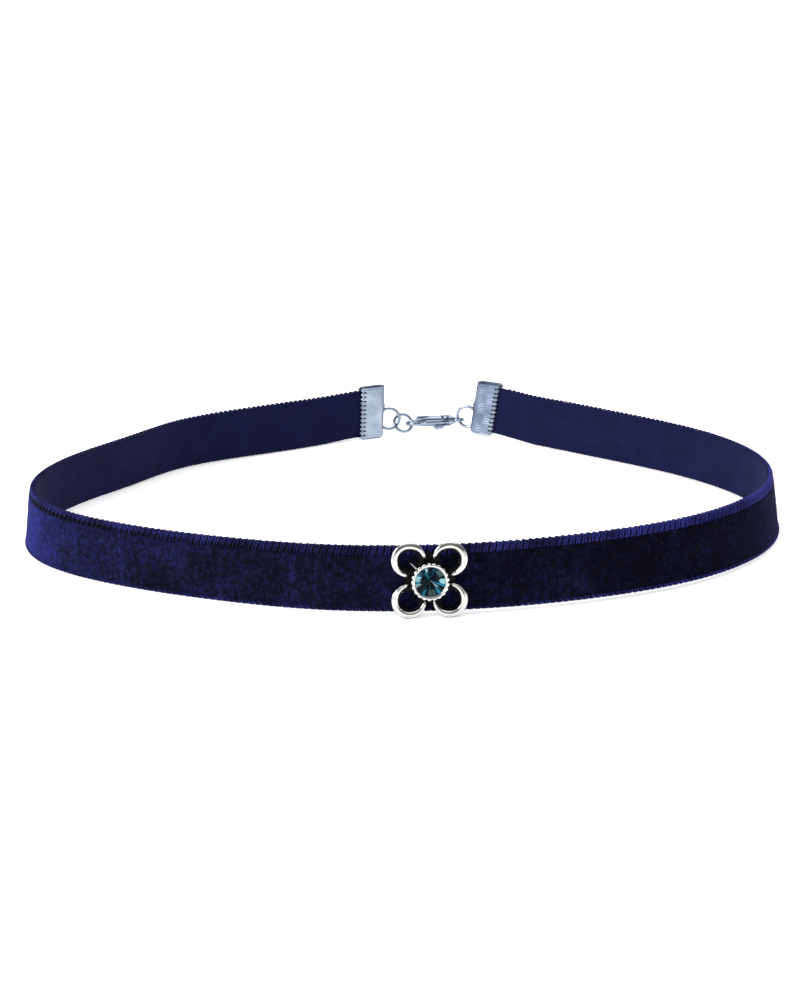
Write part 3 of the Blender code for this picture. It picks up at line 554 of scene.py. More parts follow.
def fibre_finish(name, colour, tint):
    look = Finish(name, Roughness=0.5, Specular_IOR_Level=0.25, Sheen_Weight=0.2, Sheen_Roughness=0.3,
                  Sheen_Tint=(*tint, 1.0))
    # Random mottling, plus the painted sheen that lightens the loop's left side.
    mottle_and_painted_sheen = look.total((look.noise(900.0, 4.0, 0.6), 1.0), (look.painted_sheen(), 1.0))
    look.colour(mottle_and_painted_sheen, (0.48, dimmed(colour, 0.15)), (0.68, colour))
    return look.material


def woven_finish():
    """Plain woven back of the ribbon: warp and weft a third of a millimetre apart."""
    look = Finish("woven_back", Roughness=0.85, Specular_IOR_Level=0.08, Sheen_Weight=0.05,
                  Sheen_Roughness=0.5, Sheen_Tint=(0.15, 0.16, 0.7, 1.0))
    flat = add_node(look.tree, "ShaderNodeUVMap", uv_map="flat").outputs["UV"]
    waves = [look.math("SINE", look.math("MULTIPLY", look.axis(flat, name), 2.0 * math.pi / pitch))
             for name, pitch in (("X", WARP_PITCH), ("Y", WEFT_PITCH))]
    weave = look.math("MULTIPLY", *waves)
    fuzz = look.noise(3000.0, 3.0, 0.6)
    shade = look.total((weave, 0.10), (look.noise(260.0, 4.0, 0.6), 0.6), (fuzz, 0.4))
    look.colour(shade, (0.30, (0.0044, 0.0058, 0.029)), (0.50, (0.0063, 0.0081, 0.041)),
                (0.72, (0.0086, 0.0108, 0.058)))
    look.relief(look.total((weave, 0.5), (fuzz, 1.0)), 0.35, 0.08 * MM)
    return look.material


def thread_finish(name, low, high):
    """Twisted silk thread with painted light: lighter at the loop's right side, painted shade on the loops a
    little below the top edge at its left, and darker about the middle.
    """
    look = Finish(name, Roughness=0.55, Specular_IOR_Level=0.08, Sheen_Weight=0.25, Sheen_Roughness=0.35,
                  Sheen_Tint=(0.15, 0.15, 0.9, 1.0))
    wide = look.noise(180.0, 2.0, 0.5)
    fine = look.noise(4200.0, 3.0, 0.6)
    across = look.across()
    # Painted light: the thread lighter at the loop's right side and darker at its left.
    painted_side_light = look.math("SUBTRACT", across, 0.5)
    level = look.math("DIVIDE", look.axis(look.place, "Z"), RIBBON_HEIGHT + FLOWER_DROP)
    # Painted shade on the loops a little below the top edge, at the loop's left side.
    painted_shade_by_height = look.ramp(level, (0.5, 0.0), (0.80, 0.34), (0.91, 0.30), (0.955, 0.0))
    left = look.math("MAXIMUM", look.math("SUBTRACT", 1.0, look.math("MULTIPLY", across, 2.2)), 0.0)
    wear_and_painted_shade = look.math("MULTIPLY", painted_shade_by_height, left)
    # Darker about the middle of the loop.
    darker_middle = look.ramp(across, (0.25, 0.0), (0.42, 0.09), (0.60, 0.09), (0.75, 0.0))
    shade = look.total((wide, 0.55), (fine, 0.45), (painted_side_light, 0.16), (wear_and_painted_shade, -1.0), (darker_middle, -1.0))
    look.colour(shade, (0.26, dimmed(low, 0.12)), (0.42, low), (0.66, high))
    look.relief(fine, 0.5, 0.05 * MM)
    return look.material


def silver_finish():
    """Cast silver, polished on its ridges with black patina left in its hollows."""
    look = Finish("antique_silver", Metallic=1.0, Specular_Tint=(0.4, 0.4, 0.4, 1.0))
    occlusion = add_node(look.tree, "ShaderNodeAmbientOcclusion", {"Distance": 0.9 * MM}, samples=8)
    wear_and_painted_shade = look.noise(1400.0, 4.0, 0.6)
    fine = look.noise(3200.0, 3.0, 0.6)
    spread = look.total((occlusion.outputs["AO"], 1.0), (look.math("SUBTRACT", wear_and_painted_shade, 0.5), 0.5))
    colour = look.ramp(spread, (0.20, 0.02), (0.36, (0.20, 0.195, 0.18)), (0.50, (0.72, 0.72, 0.705)))
    # Painted dark reflection: the silver's colour dimmed towards its edges.
    look.metal(colour, (0.28, 1.0), (0.58, 0.52), (0.90, 0.20))
    look.feed("Roughness", look.ramp(spread, (0.30, 0.6), (0.55, 0.2)))
    look.relief(look.total((fine, 1.0), (wear_and_painted_shade, 0.8)), 0.22, 0.08 * MM)
    return look.material


def patina_and_gap_shade_finish():
    """Blackened casting floor, rough, with a little metal showing through. On the clamps it is painted shade
    in the gaps between the teeth.
    """
    look = Finish("black_patina_and_gap_shade", Metallic=0.05, Specular_IOR_Level=0.1)
    wear_and_painted_shade = look.noise(2400.0, 4.0, 0.65)
    look.colour(wear_and_painted_shade, (0.52, 0.0015), (0.66, (0.02, 0.02, 0.019)), (0.76, (0.35, 0.34, 0.32)))
    look.feed("Roughness", look.ramp(wear_and_painted_shade, (0.4, 0.65), (0.8, 0.35)))
    look.relief(wear_and_painted_shade, 0.6, 0.12 * MM)
    return look.material


def steel_finish(name, low, high, rough):
    """Plated steel, bluish, with fine rolling marks."""
    look = Finish(name, Metallic=1.0, Specular_Tint=(0.30, 0.34, 0.42, 1.0))
    wide = look.noise(320.0, 3.0, 0.55)
    fine = look.noise(2600.0, 3.0, 0.6, (0.35, 0.35, 1.0))
    # Painted dark reflection: the steel's colour dimmed towards its edges.
    look.metal(look.ramp(wide, (0.30, low), (0.70, high)), (0.45, 1.0), (0.78, (0.42, 0.45, 0.52)),
               (0.96, (0.16, 0.18, 0.24)))
    look.feed("Roughness", look.ramp(wide, (0.3, 1.25 * rough), (0.7, 0.8 * rough)))
    look.relief(look.total((wide, 1.0), (fine, 0.25)), 0.25, 0.12 * MM)
    return look.material


def foil_finish(name, colour, rough):
    """Foil behind one set of the stone's facets, coloured with a painted reflection."""
    look = Finish(name, Metallic=0.1, Roughness=rough, Specular_IOR_Level=0.05)
    look.colour(look.noise(1800.0, 2.0, 0.5), (0.3, dimmed(colour, 0.72)), (0.7, colour))
    return look.material


def crystal_finish():
    look = Finish("teal_crystal", Roughness=0.01, IOR=1.15, Specular_IOR_Level=0.2, Transmission_Weight=1.0)
    look.colour(look.noise(900.0, 1.0, 0.5), (0.3, (0.66, 0.93, 0.98)), (0.7, (0.76, 0.97, 1.0)))
    return look.material


# Ribbon

def band_section(crush):
    """Out, up and slot round the ribbon: woven inner face, bottom edge, pile, selvage strip and top edge."""
    half = 0.5 * RIBBON_HEIGHT
    thick = RIBBON_THICKNESS + (RIBBON_CRUSHED - RIBBON_THICKNESS) * crush
    inner = -0.5 * thick
    outer = 0.5 * thick
    strip = half - SELVAGE_HEIGHT
    thin = outer - SELVAGE_DEPTH * (1.0 - crush)
    rows = [(inner, up, WOVEN) for up in np.linspace(half - 0.30 * MM, 0.30 * MM - half, 15)]
    rows += [(inner + 0.08 * MM, 0.10 * MM - half, WOVEN), (inner + 0.35 * thick, -half, WOVEN),
             (outer - 0.35 * thick, -half, SELVAGE), (outer - 0.08 * MM, 0.10 * MM - half, SELVAGE)]
    rows += [(outer, up, PILE) for up in np.linspace(0.32 * MM - half, strip - 0.10 * MM, 19)]
    rows += [(outer - 0.02 * MM, strip, PILE)]
    rows += [(thin, strip + up, SELVAGE) for up in (0.10 * MM, 0.45 * MM, 0.80 * MM)]
    rows += [(thin, half - 0.22 * MM, SELVAGE)]
    rows += [(thin - 0.08 * MM, half - 0.06 * MM, SELVAGE), (0.5 * (thin + inner), half, WOVEN),
             (inner + 0.08 * MM, half - 0.06 * MM, WOVEN), (inner, half - 0.16 * MM, WOVEN)]
    return rows


def crushed(point):
    """How far the pile stands at a place, from about -1 to 1."""
    wide = noise.noise(Vector(point) * 360.0)
    close = noise.noise(Vector(point) * 1100.0)
    return 0.65 * wide + 0.35 * close


def drift(run, scale, row):
    """Slow unevenness along the ribbon, from about -1 to 1."""
    return noise.noise(Vector((float(run) * scale, row, 0.0)))


def edge_wave(runs, size):
    """Scallop that the stitches pull into an edge."""
    uneven = np.array([1.0 + 0.6 * drift(run, 420.0, 3.0) for run in runs])
    return -size * uneven * np.cos(math.pi * runs / STITCH_PITCH) ** 2


def edge_drift(runs, row, size):
    """Slow unevenness of an edge, from 0 to size."""
    return size * np.array([0.5 + 0.5 * drift(run, 650.0, row) for run in runs])


def build_band(ribbon, finishes):
    first = RIBBON_SETBACK
    last = ribbon.length - RIBBON_SETBACK
    runs = np.linspace(first, last, int(round((last - first) / BAND_STATION)) + 1)
    half = 0.5 * RIBBON_HEIGHT
    top_wave = edge_wave(runs, 0.13 * MM) - edge_drift(runs, 2.0, 0.10 * MM)
    low_wave = edge_wave(runs + 0.4 * STITCH_PITCH, 0.09 * MM) - edge_drift(runs, 6.0, 0.08 * MM)
    section_slots = [row[2] for row in band_section(0.0)]
    points = []
    uvs = []
    for i, run in enumerate(runs):
        from_end = min(run, ribbon.length - run)
        free = 1.0 - float(ease((CLAMP_LEG + 3.0 * MM - from_end) / (3.0 * MM)))
        outs, ups = np.array([row[:2] for row in band_section(1.0 - free)]).T
        near_top = np.clip((ups - half + 1.2 * MM) / (1.2 * MM), 0.0, 1.0)
        near_low = np.clip((-ups - half + 0.9 * MM) / (0.9 * MM), 0.0, 1.0)
        ups = ups + free * (near_top * top_wave[i] - near_low * low_wave[i])
        row = ribbon.point(np.full(len(outs), run), outs + 0.10 * MM * free * drift(run, 55.0, 9.0), ups)
        facing = ribbon.outward(run)
        for j, slot in enumerate(section_slots):
            if slot == PILE:
                row[j] = row[j] + facing * (0.055 * MM * free * crushed(row[j]))
        points.append(row)
        uvs += [(run, up) for up in ups]
    skin = Skin()
    slots = section_slots * (len(runs) - 1) + [WOVEN, WOVEN]
    skin.add(np.concatenate(points), bar_faces(len(runs), len(section_slots)), slots, uvs)
    return skin.make("velvet_band", finishes, "choker", smooth_angle=70.0)


def stitch_row(ribbon, skin, top):
    """Loops of thread along one edge: each climbs the face, bends over and comes down beside itself."""
    half = 0.5 * RIBBON_HEIGHT - (0.0 if top else 0.14 * MM)
    face = 0.5 * RIBBON_THICKNESS - (SELVAGE_DEPTH if top else 0.0)
    reach = SELVAGE_HEIGHT if top else 0.55 * MM
    radius = STITCH_RADIUS if top else LOWER_STITCH_RADIUS
    start = CLAMP_LEG + 1.0 * MM
    for index in range(int((ribbon.length - 2.0 * start) / STITCH_PITCH)):
        run = start + index * STITCH_PITCH
        loose = drift(run, 900.0, 1.0 if top else 5.0)
        slant = (0.30 + 0.25 * loose) * STITCH_PITCH
        drop = reach * (0.96 + 0.10 * loose)
        wide = (0.27 + 0.05 * loose) * STITCH_PITCH
        over = ((-0.45 * wide, half - 0.25 * radius, 0.5 * face), (0.0, half - 0.05 * radius, -0.2 * face),
                (0.55 * wide, half - 0.25 * radius, 0.5 * face))
        climb, fall = [[(a * wide - b * slant, half - c * drop, face + d * radius) for a, b, c, d in leg]
                       for leg in (STITCH_CLIMB, STITCH_FALL)]
        rows = np.array(smooth_rows((*climb, *over, *fall), 0.12 * MM)[1])
        path = ribbon.point(run + rows[:, 0], rows[:, 2], rows[:, 1] if top else -rows[:, 1])
        skin.add(*tube(path, radius, 7, ribbon.outward(run) + np.array([0.0, 0.0, 0.4])))


def build_stitches(ribbon, thread):
    made = []
    for name, top in (("top_whip_stitches", True), ("lower_whip_stitches", False)):
        skin = Skin()
        stitch_row(ribbon, skin, top)
        made.append(skin.make(name, [thread], "choker"))
    return made


def build_fibres(ribbon, name, finish, kind):
    """Short pile fibres off the outer face, each a slim closed spike that leans with the crushed pile."""
    random = np.random.RandomState(kind.seed)
    margin = CLAMP_LEG + 2.0 * MM
    runs = random.uniform(margin, ribbon.length - margin, kind.count)
    ups = random.uniform(kind.low, kind.high, kind.count)
    roots = ribbon.point(runs, np.full(kind.count, 0.5 * RIBBON_THICKNESS - 0.05 * MM), ups)
    outs = ribbon.outward(runs)
    alongs = ribbon.tangent(runs)
    spread = random.normal(0.0, 1.0, (kind.count, 2))
    lengths = kind.length * random.uniform(0.55, 1.25, kind.count)
    skin = Skin()
    for i in range(kind.count):
        root = Vector(roots[i])
        lean = 0.9 * noise.noise(root * 300.0)
        lift = -0.5 + 0.9 * noise.noise(root * 300.0 + Vector((7.0, 0.0, 0.0)))
        direction = Vector(outs[i]) * 0.75 + Vector(alongs[i]) * (lean + 0.35 * spread[i][0])
        direction = (direction + Vector((0.0, 0.0, lift + 0.35 * spread[i][1]))).normalized()
        side = direction.orthogonal().normalized()
        other = direction.cross(side)
        spike = [root + (side * math.cos(turn) + other * math.sin(turn)) * kind.radius
                 for turn in (0.0, 2.1, 4.2)]
        spike.append(root + direction * lengths[i])
        skin.add(spike, [(0, 2, 1), (0, 1, 3), (1, 2, 3), (2, 0, 3)])
    return skin.make(name, [finish], "choker")


# Flower

def find_run(ribbon, x):
    """Run along the front half of the loop at a given x."""
    runs = np.linspace(0.0, ribbon.length, 2000)
    places = ribbon.at(runs)
    miss = np.where(places[:, 1] < 0.0, np.abs(places[:, 0] - x), LOOP_WIDTH)
    return float(runs[int(np.argmin(miss))])


def flower_back():
    return 0.5 * RIBBON_THICKNESS + CLEARANCE


def flower_frame(ribbon):
    """Local X runs along the ribbon, Y up, Z out of the ribbon's face at the middle of the flower."""
    run = find_run(ribbon, FLOWER_SHARE * LOOP_WIDTH)
    low = Vector(ribbon.point(run, 0.0, -0.5 * RIBBON_HEIGHT))
    high = Vector(ribbon.point(run, 0.0, 0.5 * RIBBON_HEIGHT))
    up = (high - low).normalized()
    along = Vector(ribbon.tangent(run))
    out = along.cross(up).normalized()
    centre = Vector(ribbon.point(run, 0.0, 0.0))
    lowest = centre - up * (PETAL_RISE + PETAL_OUTER_RADIUS) + out * (flower_back() + PETAL_WIRE_RADIUS)
    centre = centre + up * (-lowest.z / up.z)
    return frame_of(centre, along, up, out)


def petal(skin, side, rise, twin):
    """Open wire petal, thick at its outer corner and tapered to its ends, grooved as deep as twin says."""
    centre = Vector((side * PETAL_SIDE_OFFSET, rise * PETAL_RISE, 0.0))
    towards_hub = math.atan2(-rise, -side)
    radius = PETAL_OUTER_RADIUS - PETAL_WIRE_RADIUS
    level = flower_back() + 0.46 * MM
    steps = 72
    sides = 22
    points = []
    for i in range(steps + 1):
        share = i / steps
        turn = towards_hub + 0.5 * PETAL_OPENING + share * (2.0 * math.pi - PETAL_OPENING)
        from_end = min(share, 1.0 - share)
        wire = PETAL_WIRE_RADIUS * (0.50 + 0.50 * float(ease(from_end * 3.2)))
        wire *= math.sqrt(min(1.0, from_end * 22.0 + 0.04))
        middle = radius + (PETAL_WIRE_RADIUS - wire) * 0.35
        for around in turns_round(sides):
            groove = twin * 0.22 * math.exp(-((around - 0.36 * math.pi) / 0.20) ** 2)
            swell = wire * (1.0 - groove)
            reach = middle + 1.12 * swell * math.cos(around)
            height = level + 1.02 * swell * math.sin(around) - 0.18 * (PETAL_WIRE_RADIUS - wire)
            points.append((centre.x + reach * math.cos(turn), centre.y + reach * math.sin(turn), height))
    skin.add(points, bar_faces(steps + 1, sides))


def hoop(profile, sides, centre=(0.0, 0.0), hollow=True):
    """An outline of radius and level carried round a centre: a closed hoop or, when not hollow, a disc."""
    points = [(centre[0] + radius * math.cos(turn), centre[1] + radius * math.sin(turn), level)
              for radius, level in profile for turn in turns_round(sides)]
    if hollow:
        return points, grid_faces(len(profile), sides, close_rows=True, close_columns=True)
    return points, bar_faces(len(profile), sides)


def ledge(skin, side, rise):
    """Blackened ledge inside a petal."""
    low = flower_back()
    high = low + 0.34 * MM
    outer = PETAL_OUTER_RADIUS - PETAL_WIRE_RADIUS
    inner = 1.44 * MM
    profile = ((outer, low), (outer, high + 0.10 * MM), (inner + 0.18 * MM, high + 0.04 * MM),
               (inner + 0.03 * MM, high), (inner, high - 0.08 * MM), (inner, low))
    skin.add(*hoop(profile, 56, (side * PETAL_SIDE_OFFSET, rise * PETAL_RISE)), BLACK)


def web(skin, turn, reach, width):
    """Blackened bridge from the hub out between two petals, rounded at its tip and dished along it."""
    low = flower_back()
    root = 0.6 * HUB_RADIUS
    rows = 14
    columns = 9
    points = []
    for share in np.linspace(0.0, 1.0, rows):
        along = root + share * (reach - root)
        half = 0.5 * width * math.sqrt(max(0.02, 1.0 - max(0.0, (share - 0.72) / 0.28) ** 2))
        for side in np.linspace(-1.0, 1.0, columns):
            level = low + 0.30 * MM + 0.14 * MM * abs(side) ** 3 - 0.10 * MM * share
            points.append((along, half * side, level))
        points += [(along, half, low), (along, -half, low)]
    cos, sin = math.cos(turn), math.sin(turn)
    points = [(x * cos - y * sin, x * sin + y * cos, z) for x, y, z in points]
    skin.add(points, bar_faces(rows, columns + 2), BLACK)


def bezel(skin):
    """Cup with a rim pushed over the stone in rounded teeth."""
    sides = BEZEL_TEETH * 12
    floor = flower_back()
    rim = floor + HUB_THICKNESS + BEZEL_HEIGHT
    inner = BEZEL_RADIUS - BEZEL_WALL
    # Radius, level, how far the teeth show in the radius and in the level, and slot
    profile = (
        (HUB_RADIUS, floor, 0.0, 0.0, BLACK),
        (BEZEL_RADIUS - 0.16 * MM, floor + 0.6 * HUB_THICKNESS, 0.1, 0.0, BLACK),
        (BEZEL_RADIUS - 0.06 * MM, floor + HUB_THICKNESS + 0.3 * BEZEL_HEIGHT, 0.35, 0.0, METAL),
        (BEZEL_RADIUS - 0.02 * MM, rim - 0.42 * MM, 0.8, 0.0, METAL),
        (BEZEL_RADIUS, rim - 0.20 * MM, 1.0, 0.1, METAL),
        (BEZEL_RADIUS - 0.08 * MM, rim - 0.07 * MM, 0.85, 0.3, METAL),
        (BEZEL_RADIUS - 0.22 * MM, rim, 0.40, 0.4, METAL),
        (inner + 0.10 * MM, rim, 0.15, 0.3, METAL),
        (inner - 0.08 * MM, rim - 0.07 * MM, 0.12, 0.2, METAL),
        (inner - 0.14 * MM, rim - 0.20 * MM, 0.10, 0.1, METAL),
        (inner - 0.04 * MM, rim - 0.36 * MM, 0.0, 0.0, BLACK),
        (inner, rim - 0.60 * MM, 0.0, 0.0, BLACK),
        (inner, floor + 0.5 * HUB_THICKNESS, 0.0, 0.0, BLACK),
    )
    points = []
    for radius, level, ripple, crest, _ in profile:
        for turn in turns_round(sides):
            tooth = abs(math.sin(0.5 * BEZEL_TEETH * turn)) ** 0.8
            valley = (1.0 - tooth) * (1.0 + 0.25 * math.sin(3.0 * turn + 0.7))
            reach = radius + 0.04 * MM - 0.25 * MM * ripple * valley
            height = level - 0.07 * MM * crest * valley
            points.append((reach * math.cos(turn), reach * math.sin(turn), height))
    slots = [row[-1] for row in profile[1:] for _ in range(sides)]
    skin.add(points, bar_faces(len(profile), sides), slots + [BLACK, BLACK])


def build_flower(place, silver, patina):
    skin = Skin()
    for side in (-1.0, 1.0):
        for rise in (-1.0, 1.0):
            petal(skin, side, rise, 1.0 if rise < 0.0 else 0.6)
            ledge(skin, side, rise)
    for turn, reach, width in ((0.5, 4.15, 1.15), (0.0, 3.9, 1.25), (1.0, 3.9, 1.25), (1.5, 3.6, 1.2)):
        web(skin, turn * math.pi, reach * MM, width * MM)
    bezel(skin)
    level = flower_back() + HUB_THICKNESS
    path = [(reach * MM * math.cos(BURR_TURN), reach * MM * math.sin(BURR_TURN), level + rise * MM)
            for reach, rise in ((2.6, 0.30), (3.1, 0.16), (3.6, 0.02), (3.95, -0.10))]
    skin.add(*tube(path, (0.11 * MM, 0.09 * MM, 0.06 * MM, 0.03 * MM), 8, (0.0, 0.0, 1.0)))
    return skin.make("flower_casting", [silver, patina], "choker", place)


def facet_rings(rings):
    """Rings of points on the stone: each has a count, a radius, a shift in steps and a level."""
    points = []
    starts = []
    for count, radius, shift, level in rings:
        starts.append(len(points))
        for i in range(count):
            turn = 2.0 * math.pi * (i + shift) / count
            points.append((radius * math.cos(turn), radius * math.sin(turn), level))
    return points, starts


def build_crown(place, radius, girdle, crystal):
    """Clear teal crown of a round brilliant, with a plain girdle under it."""
    points, starts = facet_rings(((8, 0.56 * radius, 0.0, girdle + 0.30 * radius),
                                  (8, 0.79 * radius, 0.5, girdle + 0.19 * radius), (16, radius, 0.0, girdle)))
    low = starts[1]
    rim = starts[2]
    base = len(points)
    faces = [tuple(range(8))]
    for i in range(8):
        k = (i + 1) % 8
        faces.append((i, low + i, k))
        faces.append((i, low + (i - 1) % 8, rim + 2 * i, low + i))
        faces.append((low + i, rim + 2 * i, rim + 2 * i + 1))
        faces.append((low + i, rim + 2 * i + 1, rim + (2 * i + 2) % 16))
    points += [(x, y, z - GIRDLE_SHARE * radius) for x, y, z in points[rim:]]
    for i in range(16):
        k = (i + 1) % 16
        faces.append((rim + i, base + i, base + k, rim + k))
    faces.append(tuple(base + i for i in range(16)))
    skin = Skin()
    skin.add(points, faces)
    return skin.make("stone_crown", [crystal], "choker", place, smooth_angle=FACETED)


def build_foil(place, radius, girdle, reflection_foils):
    """Foiled pavilion: an upper row of facets, a lower row of long ones and the tip, which differ in tone as
    painted reflections.

    It is a shell open to the crown, so that light reaches the facets."""
    top = girdle - GIRDLE_SHARE * radius - 0.01 * MM
    count = len(OUTER_PAINTED_REFLECTIONS)
    points = []
    for share, level, waver in ((1.0, 0.0, 0.0), (0.60, 0.22, 0.05)):
        for i, turn in enumerate(turns_round(count)):
            reach = radius * (share + waver * (1.0 if i % 2 else -1.0))
            height = top - radius * (level + waver * (0.6 if i % 4 < 2 else -0.6))
            points.append((reach * math.cos(turn), reach * math.sin(turn), height))
    points.append((0.0, 0.0, top - 0.62 * radius))
    faces = []
    for i in range(count):
        k = (i + 1) % count
        faces += [(i, count + i, count + k, k), (count + i, 2 * count, count + k)]
    painted_tones = [int(tone) for pair in zip(OUTER_PAINTED_REFLECTIONS, INNER_PAINTED_REFLECTIONS) for tone in pair]
    skin = Skin()
    skin.add(points, faces, painted_tones)
    return skin.make("stone_foil", reflection_foils, "choker", place, smooth_angle=FACETED)


def build_stone(place, crystal, reflection_foils):
    radius = BEZEL_RADIUS - BEZEL_WALL - 0.06 * MM
    girdle = flower_back() + HUB_THICKNESS + BEZEL_HEIGHT - 0.30 * MM
    return build_crown(place, radius, girdle, crystal), build_foil(place, radius, girdle, reflection_foils)


# Clamps

def clamp_profile(reach):
    """Folded plate from above, as along and out: outer leaf, fold and inner leaf, with rounded leaf ends."""
    middle = 0.5 * (CLAMP_INNER + CLAMP_OUTER)
    bite = 0.22 * MM
    shares = np.linspace(0.05, 0.95, LEAF_STEPS)
    first_end = [(math.pi - 0.5 * math.pi * share, middle - bite) for share in (0.0, 0.5, 1.0)]
    last_end = [(-0.5 * math.pi - 0.5 * math.pi * share, bite - middle) for share in (0.0, 0.5, 1.0)]
    ends = [[(-reach + 0.22 * MM * math.cos(turn), out + 0.225 * MM * math.sin(turn)) for turn, out in end]
            for end in (first_end, last_end)]
    leaf = [(-reach * (1.0 - share), CLAMP_OUTER - bite * max(0.0, 1.0 - share * 5.0)) for share in shares]
    rows = ends[0] + leaf
    for turn in np.linspace(0.5 * math.pi, -0.5 * math.pi, FOLD_STEPS):
        rows.append((CLAMP_OUTER * math.cos(turn), CLAMP_OUTER * math.sin(turn)))
    rows += [(along, -out) for along, out in reversed(leaf)] + ends[1]
    rows.append((-reach + 0.25 * MM, -CLAMP_INNER))
    for turn in np.linspace(-0.5 * math.pi, 0.5 * math.pi, 9):
        rows.append((CLAMP_INNER * math.cos(turn), CLAMP_INNER * math.sin(turn)))
    rows.append((-reach + 0.25 * MM, CLAMP_INNER))
    return rows


def rib_checker(along, up):
    """Blocks of ribs, by turns near the fold and near the teeth, and a faint roughness between them."""
    row_height = CLAMP_HEIGHT / 5
    row = int(min(4, max(0, (up + 0.5 * CLAMP_HEIGHT) // row_height)))
    low, high = (-1.75 * MM, -0.1 * MM) if row % 2 == 0 else (-3.7 * MM, -1.85 * MM)
    inside = float(ease((along - low) / (0.2 * MM)) * ease((high - along) / (0.2 * MM)))
    within = (up + 0.5 * CLAMP_HEIGHT) - row * row_height
    rib = math.cos(math.pi * (within - 0.5 * row_height) / (0.5 * MM)) ** 2
    rib *= float(ease(within / (0.15 * MM)) * ease((row_height - within) / (0.15 * MM)))
    rough = noise.noise(Vector((along * 900.0, up * 900.0, 4.0)))
    return inside * 0.09 * MM * rib + (1.0 - inside) * 0.03 * MM * rough


def hammered(along, up):
    """Soft relief of the plain plate, with a row of beads near its top edge."""
    bead = math.cos(math.pi * along / (0.62 * MM)) ** 2
    soft = 0.035 * MM * noise.noise(Vector((along * 620.0, up * 620.0, 1.0)))
    return soft + 0.11 * MM * bead * float(bump(up - 0.5 * CLAMP_HEIGHT + 0.55 * MM, 0.32 * MM))


def tooth_at(up):
    """1 on the middle of a clamp's tooth, 0 in the gap between two."""
    return math.cos(math.pi * (up * CLAMP_TEETH / CLAMP_HEIGHT + 0.5)) ** 2


def clamp_relief(along, up, ribbed):
    """How far the plate's face stands out: a bead by each tooth, and ribs or hammering over the leaf."""
    bead = tooth_at(up)
    raised = 0.14 * MM * bead * float(bump(along + CLAMP_LEG - 0.25 * MM, 0.42 * MM))
    sunk = 0.20 * MM * (1.0 - bead) * float(bump(along + CLAMP_LEG - 0.62 * MM, 0.36 * MM))
    return raised - sunk + (rib_checker(along, up) if ribbed else hammered(along, up))


def cut_notches(piece, end, levels):
    """Open slots through the fold, one at each level, where the jump ring passes."""
    corners = ((CLAMP_NOTCH_START, -CLAMP_INNER), (2.0 * CLAMP_OUTER, -CLAMP_INNER),
               (2.0 * CLAMP_OUTER, CLAMP_INNER), (CLAMP_NOTCH_START, CLAMP_INNER))
    cutters = []
    for level in levels:
        points = [tuple(end.place(along, out, level + rise))
                  for rise in (-0.5 * CLAMP_NOTCH_HEIGHT, 0.5 * CLAMP_NOTCH_HEIGHT) for along, out in corners]
        mesh = new_mesh("notch", points, bar_faces(2, len(corners)))
        turn_outward(mesh)
        modifier = piece.modifiers.new("notch", "BOOLEAN")
        modifier.operation = "DIFFERENCE"
        modifier.solver = "EXACT"
        modifier.object = new_object("notch", mesh)
        cutters.append(modifier.object)
    bpy.context.view_layer.update()
    cut = bpy.data.meshes.new_from_object(piece.evaluated_get(bpy.context.evaluated_depsgraph_get()))
    piece.modifiers.clear()
    piece.data = cut
    for cutter in cutters:
        bpy.data.objects.remove(cutter)


def build_clamp(name, node, end, ring_drop, ribbed, steel, dark):
    """Clamp plate with its teeth bitten into the ribbon, and two notches where the jump ring passes."""
    levels = 132
    half = 0.5 * CLAMP_HEIGHT
    corner = 0.8 * MM
    rise = notch_level()
    points = []
    for i in range(levels + 1):
        up = CLAMP_HEIGHT * (i / levels - 0.5)
        reach = CLAMP_LEG - 0.5 * MM + 0.42 * MM * tooth_at(up) ** 0.7
        from_low = up + half
        drawn = corner - math.sqrt(max(0.0, corner ** 2 - max(0.0, corner - from_low) ** 2))
        swollen = float(bump(up + ring_drop - rise - 0.5 * CLAMP_NOTCH_HEIGHT, 1.4 * MM))
        rounding = 0.10 * MM * float(bump(from_low, 0.14 * MM) + bump(half - up, 0.14 * MM))
        for j, (along, out) in enumerate(clamp_profile(reach)):
            outside = j < 2 * LEAF_STEPS + FOLD_STEPS + 6
            if outside:
                out += math.copysign(clamp_relief(min(along, 0.0), up, ribbed) - rounding, out)
            if along > 0.0:
                along *= 1.0 - 0.9 * min(1.0, drawn / corner) + (0.26 * swollen if outside else 0.0)
            points.append(tuple(end.place(along, out, up)))
    columns = len(points) // (levels + 1)
    # Painted shade: the leaf-end faces in the gaps between the teeth take the black finish.
    slots = []
    for i in range(levels):
        up = CLAMP_HEIGHT * ((i + 0.5) / levels - 0.5)
        gap = tooth_at(up) < 0.36 and abs(up) < half - 0.3 * MM
        slots += [BLACK if gap and j in SHADED_GAP_COLUMNS else METAL for j in range(columns)]
    skin = Skin()
    skin.add(points, bar_faces(levels + 1, columns), slots + [METAL, METAL])
    piece = skin.make(name, [steel, dark], "choker", smooth_angle=60.0)
    cut_notches(piece, end, [sign * rise - ring_drop for sign in (-1.0, 1.0)])
    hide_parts(node)


# Rings and clasp

def notch_level():
    """Height over the clamp's middle at which a jump ring passes the fold."""
    along = JUMP_RING_RADIUS + RING_SEAT - (CLAMP_INNER + 0.5 * CLAMP_WALL)
    return math.sqrt(JUMP_RING_RADIUS ** 2 - along ** 2)


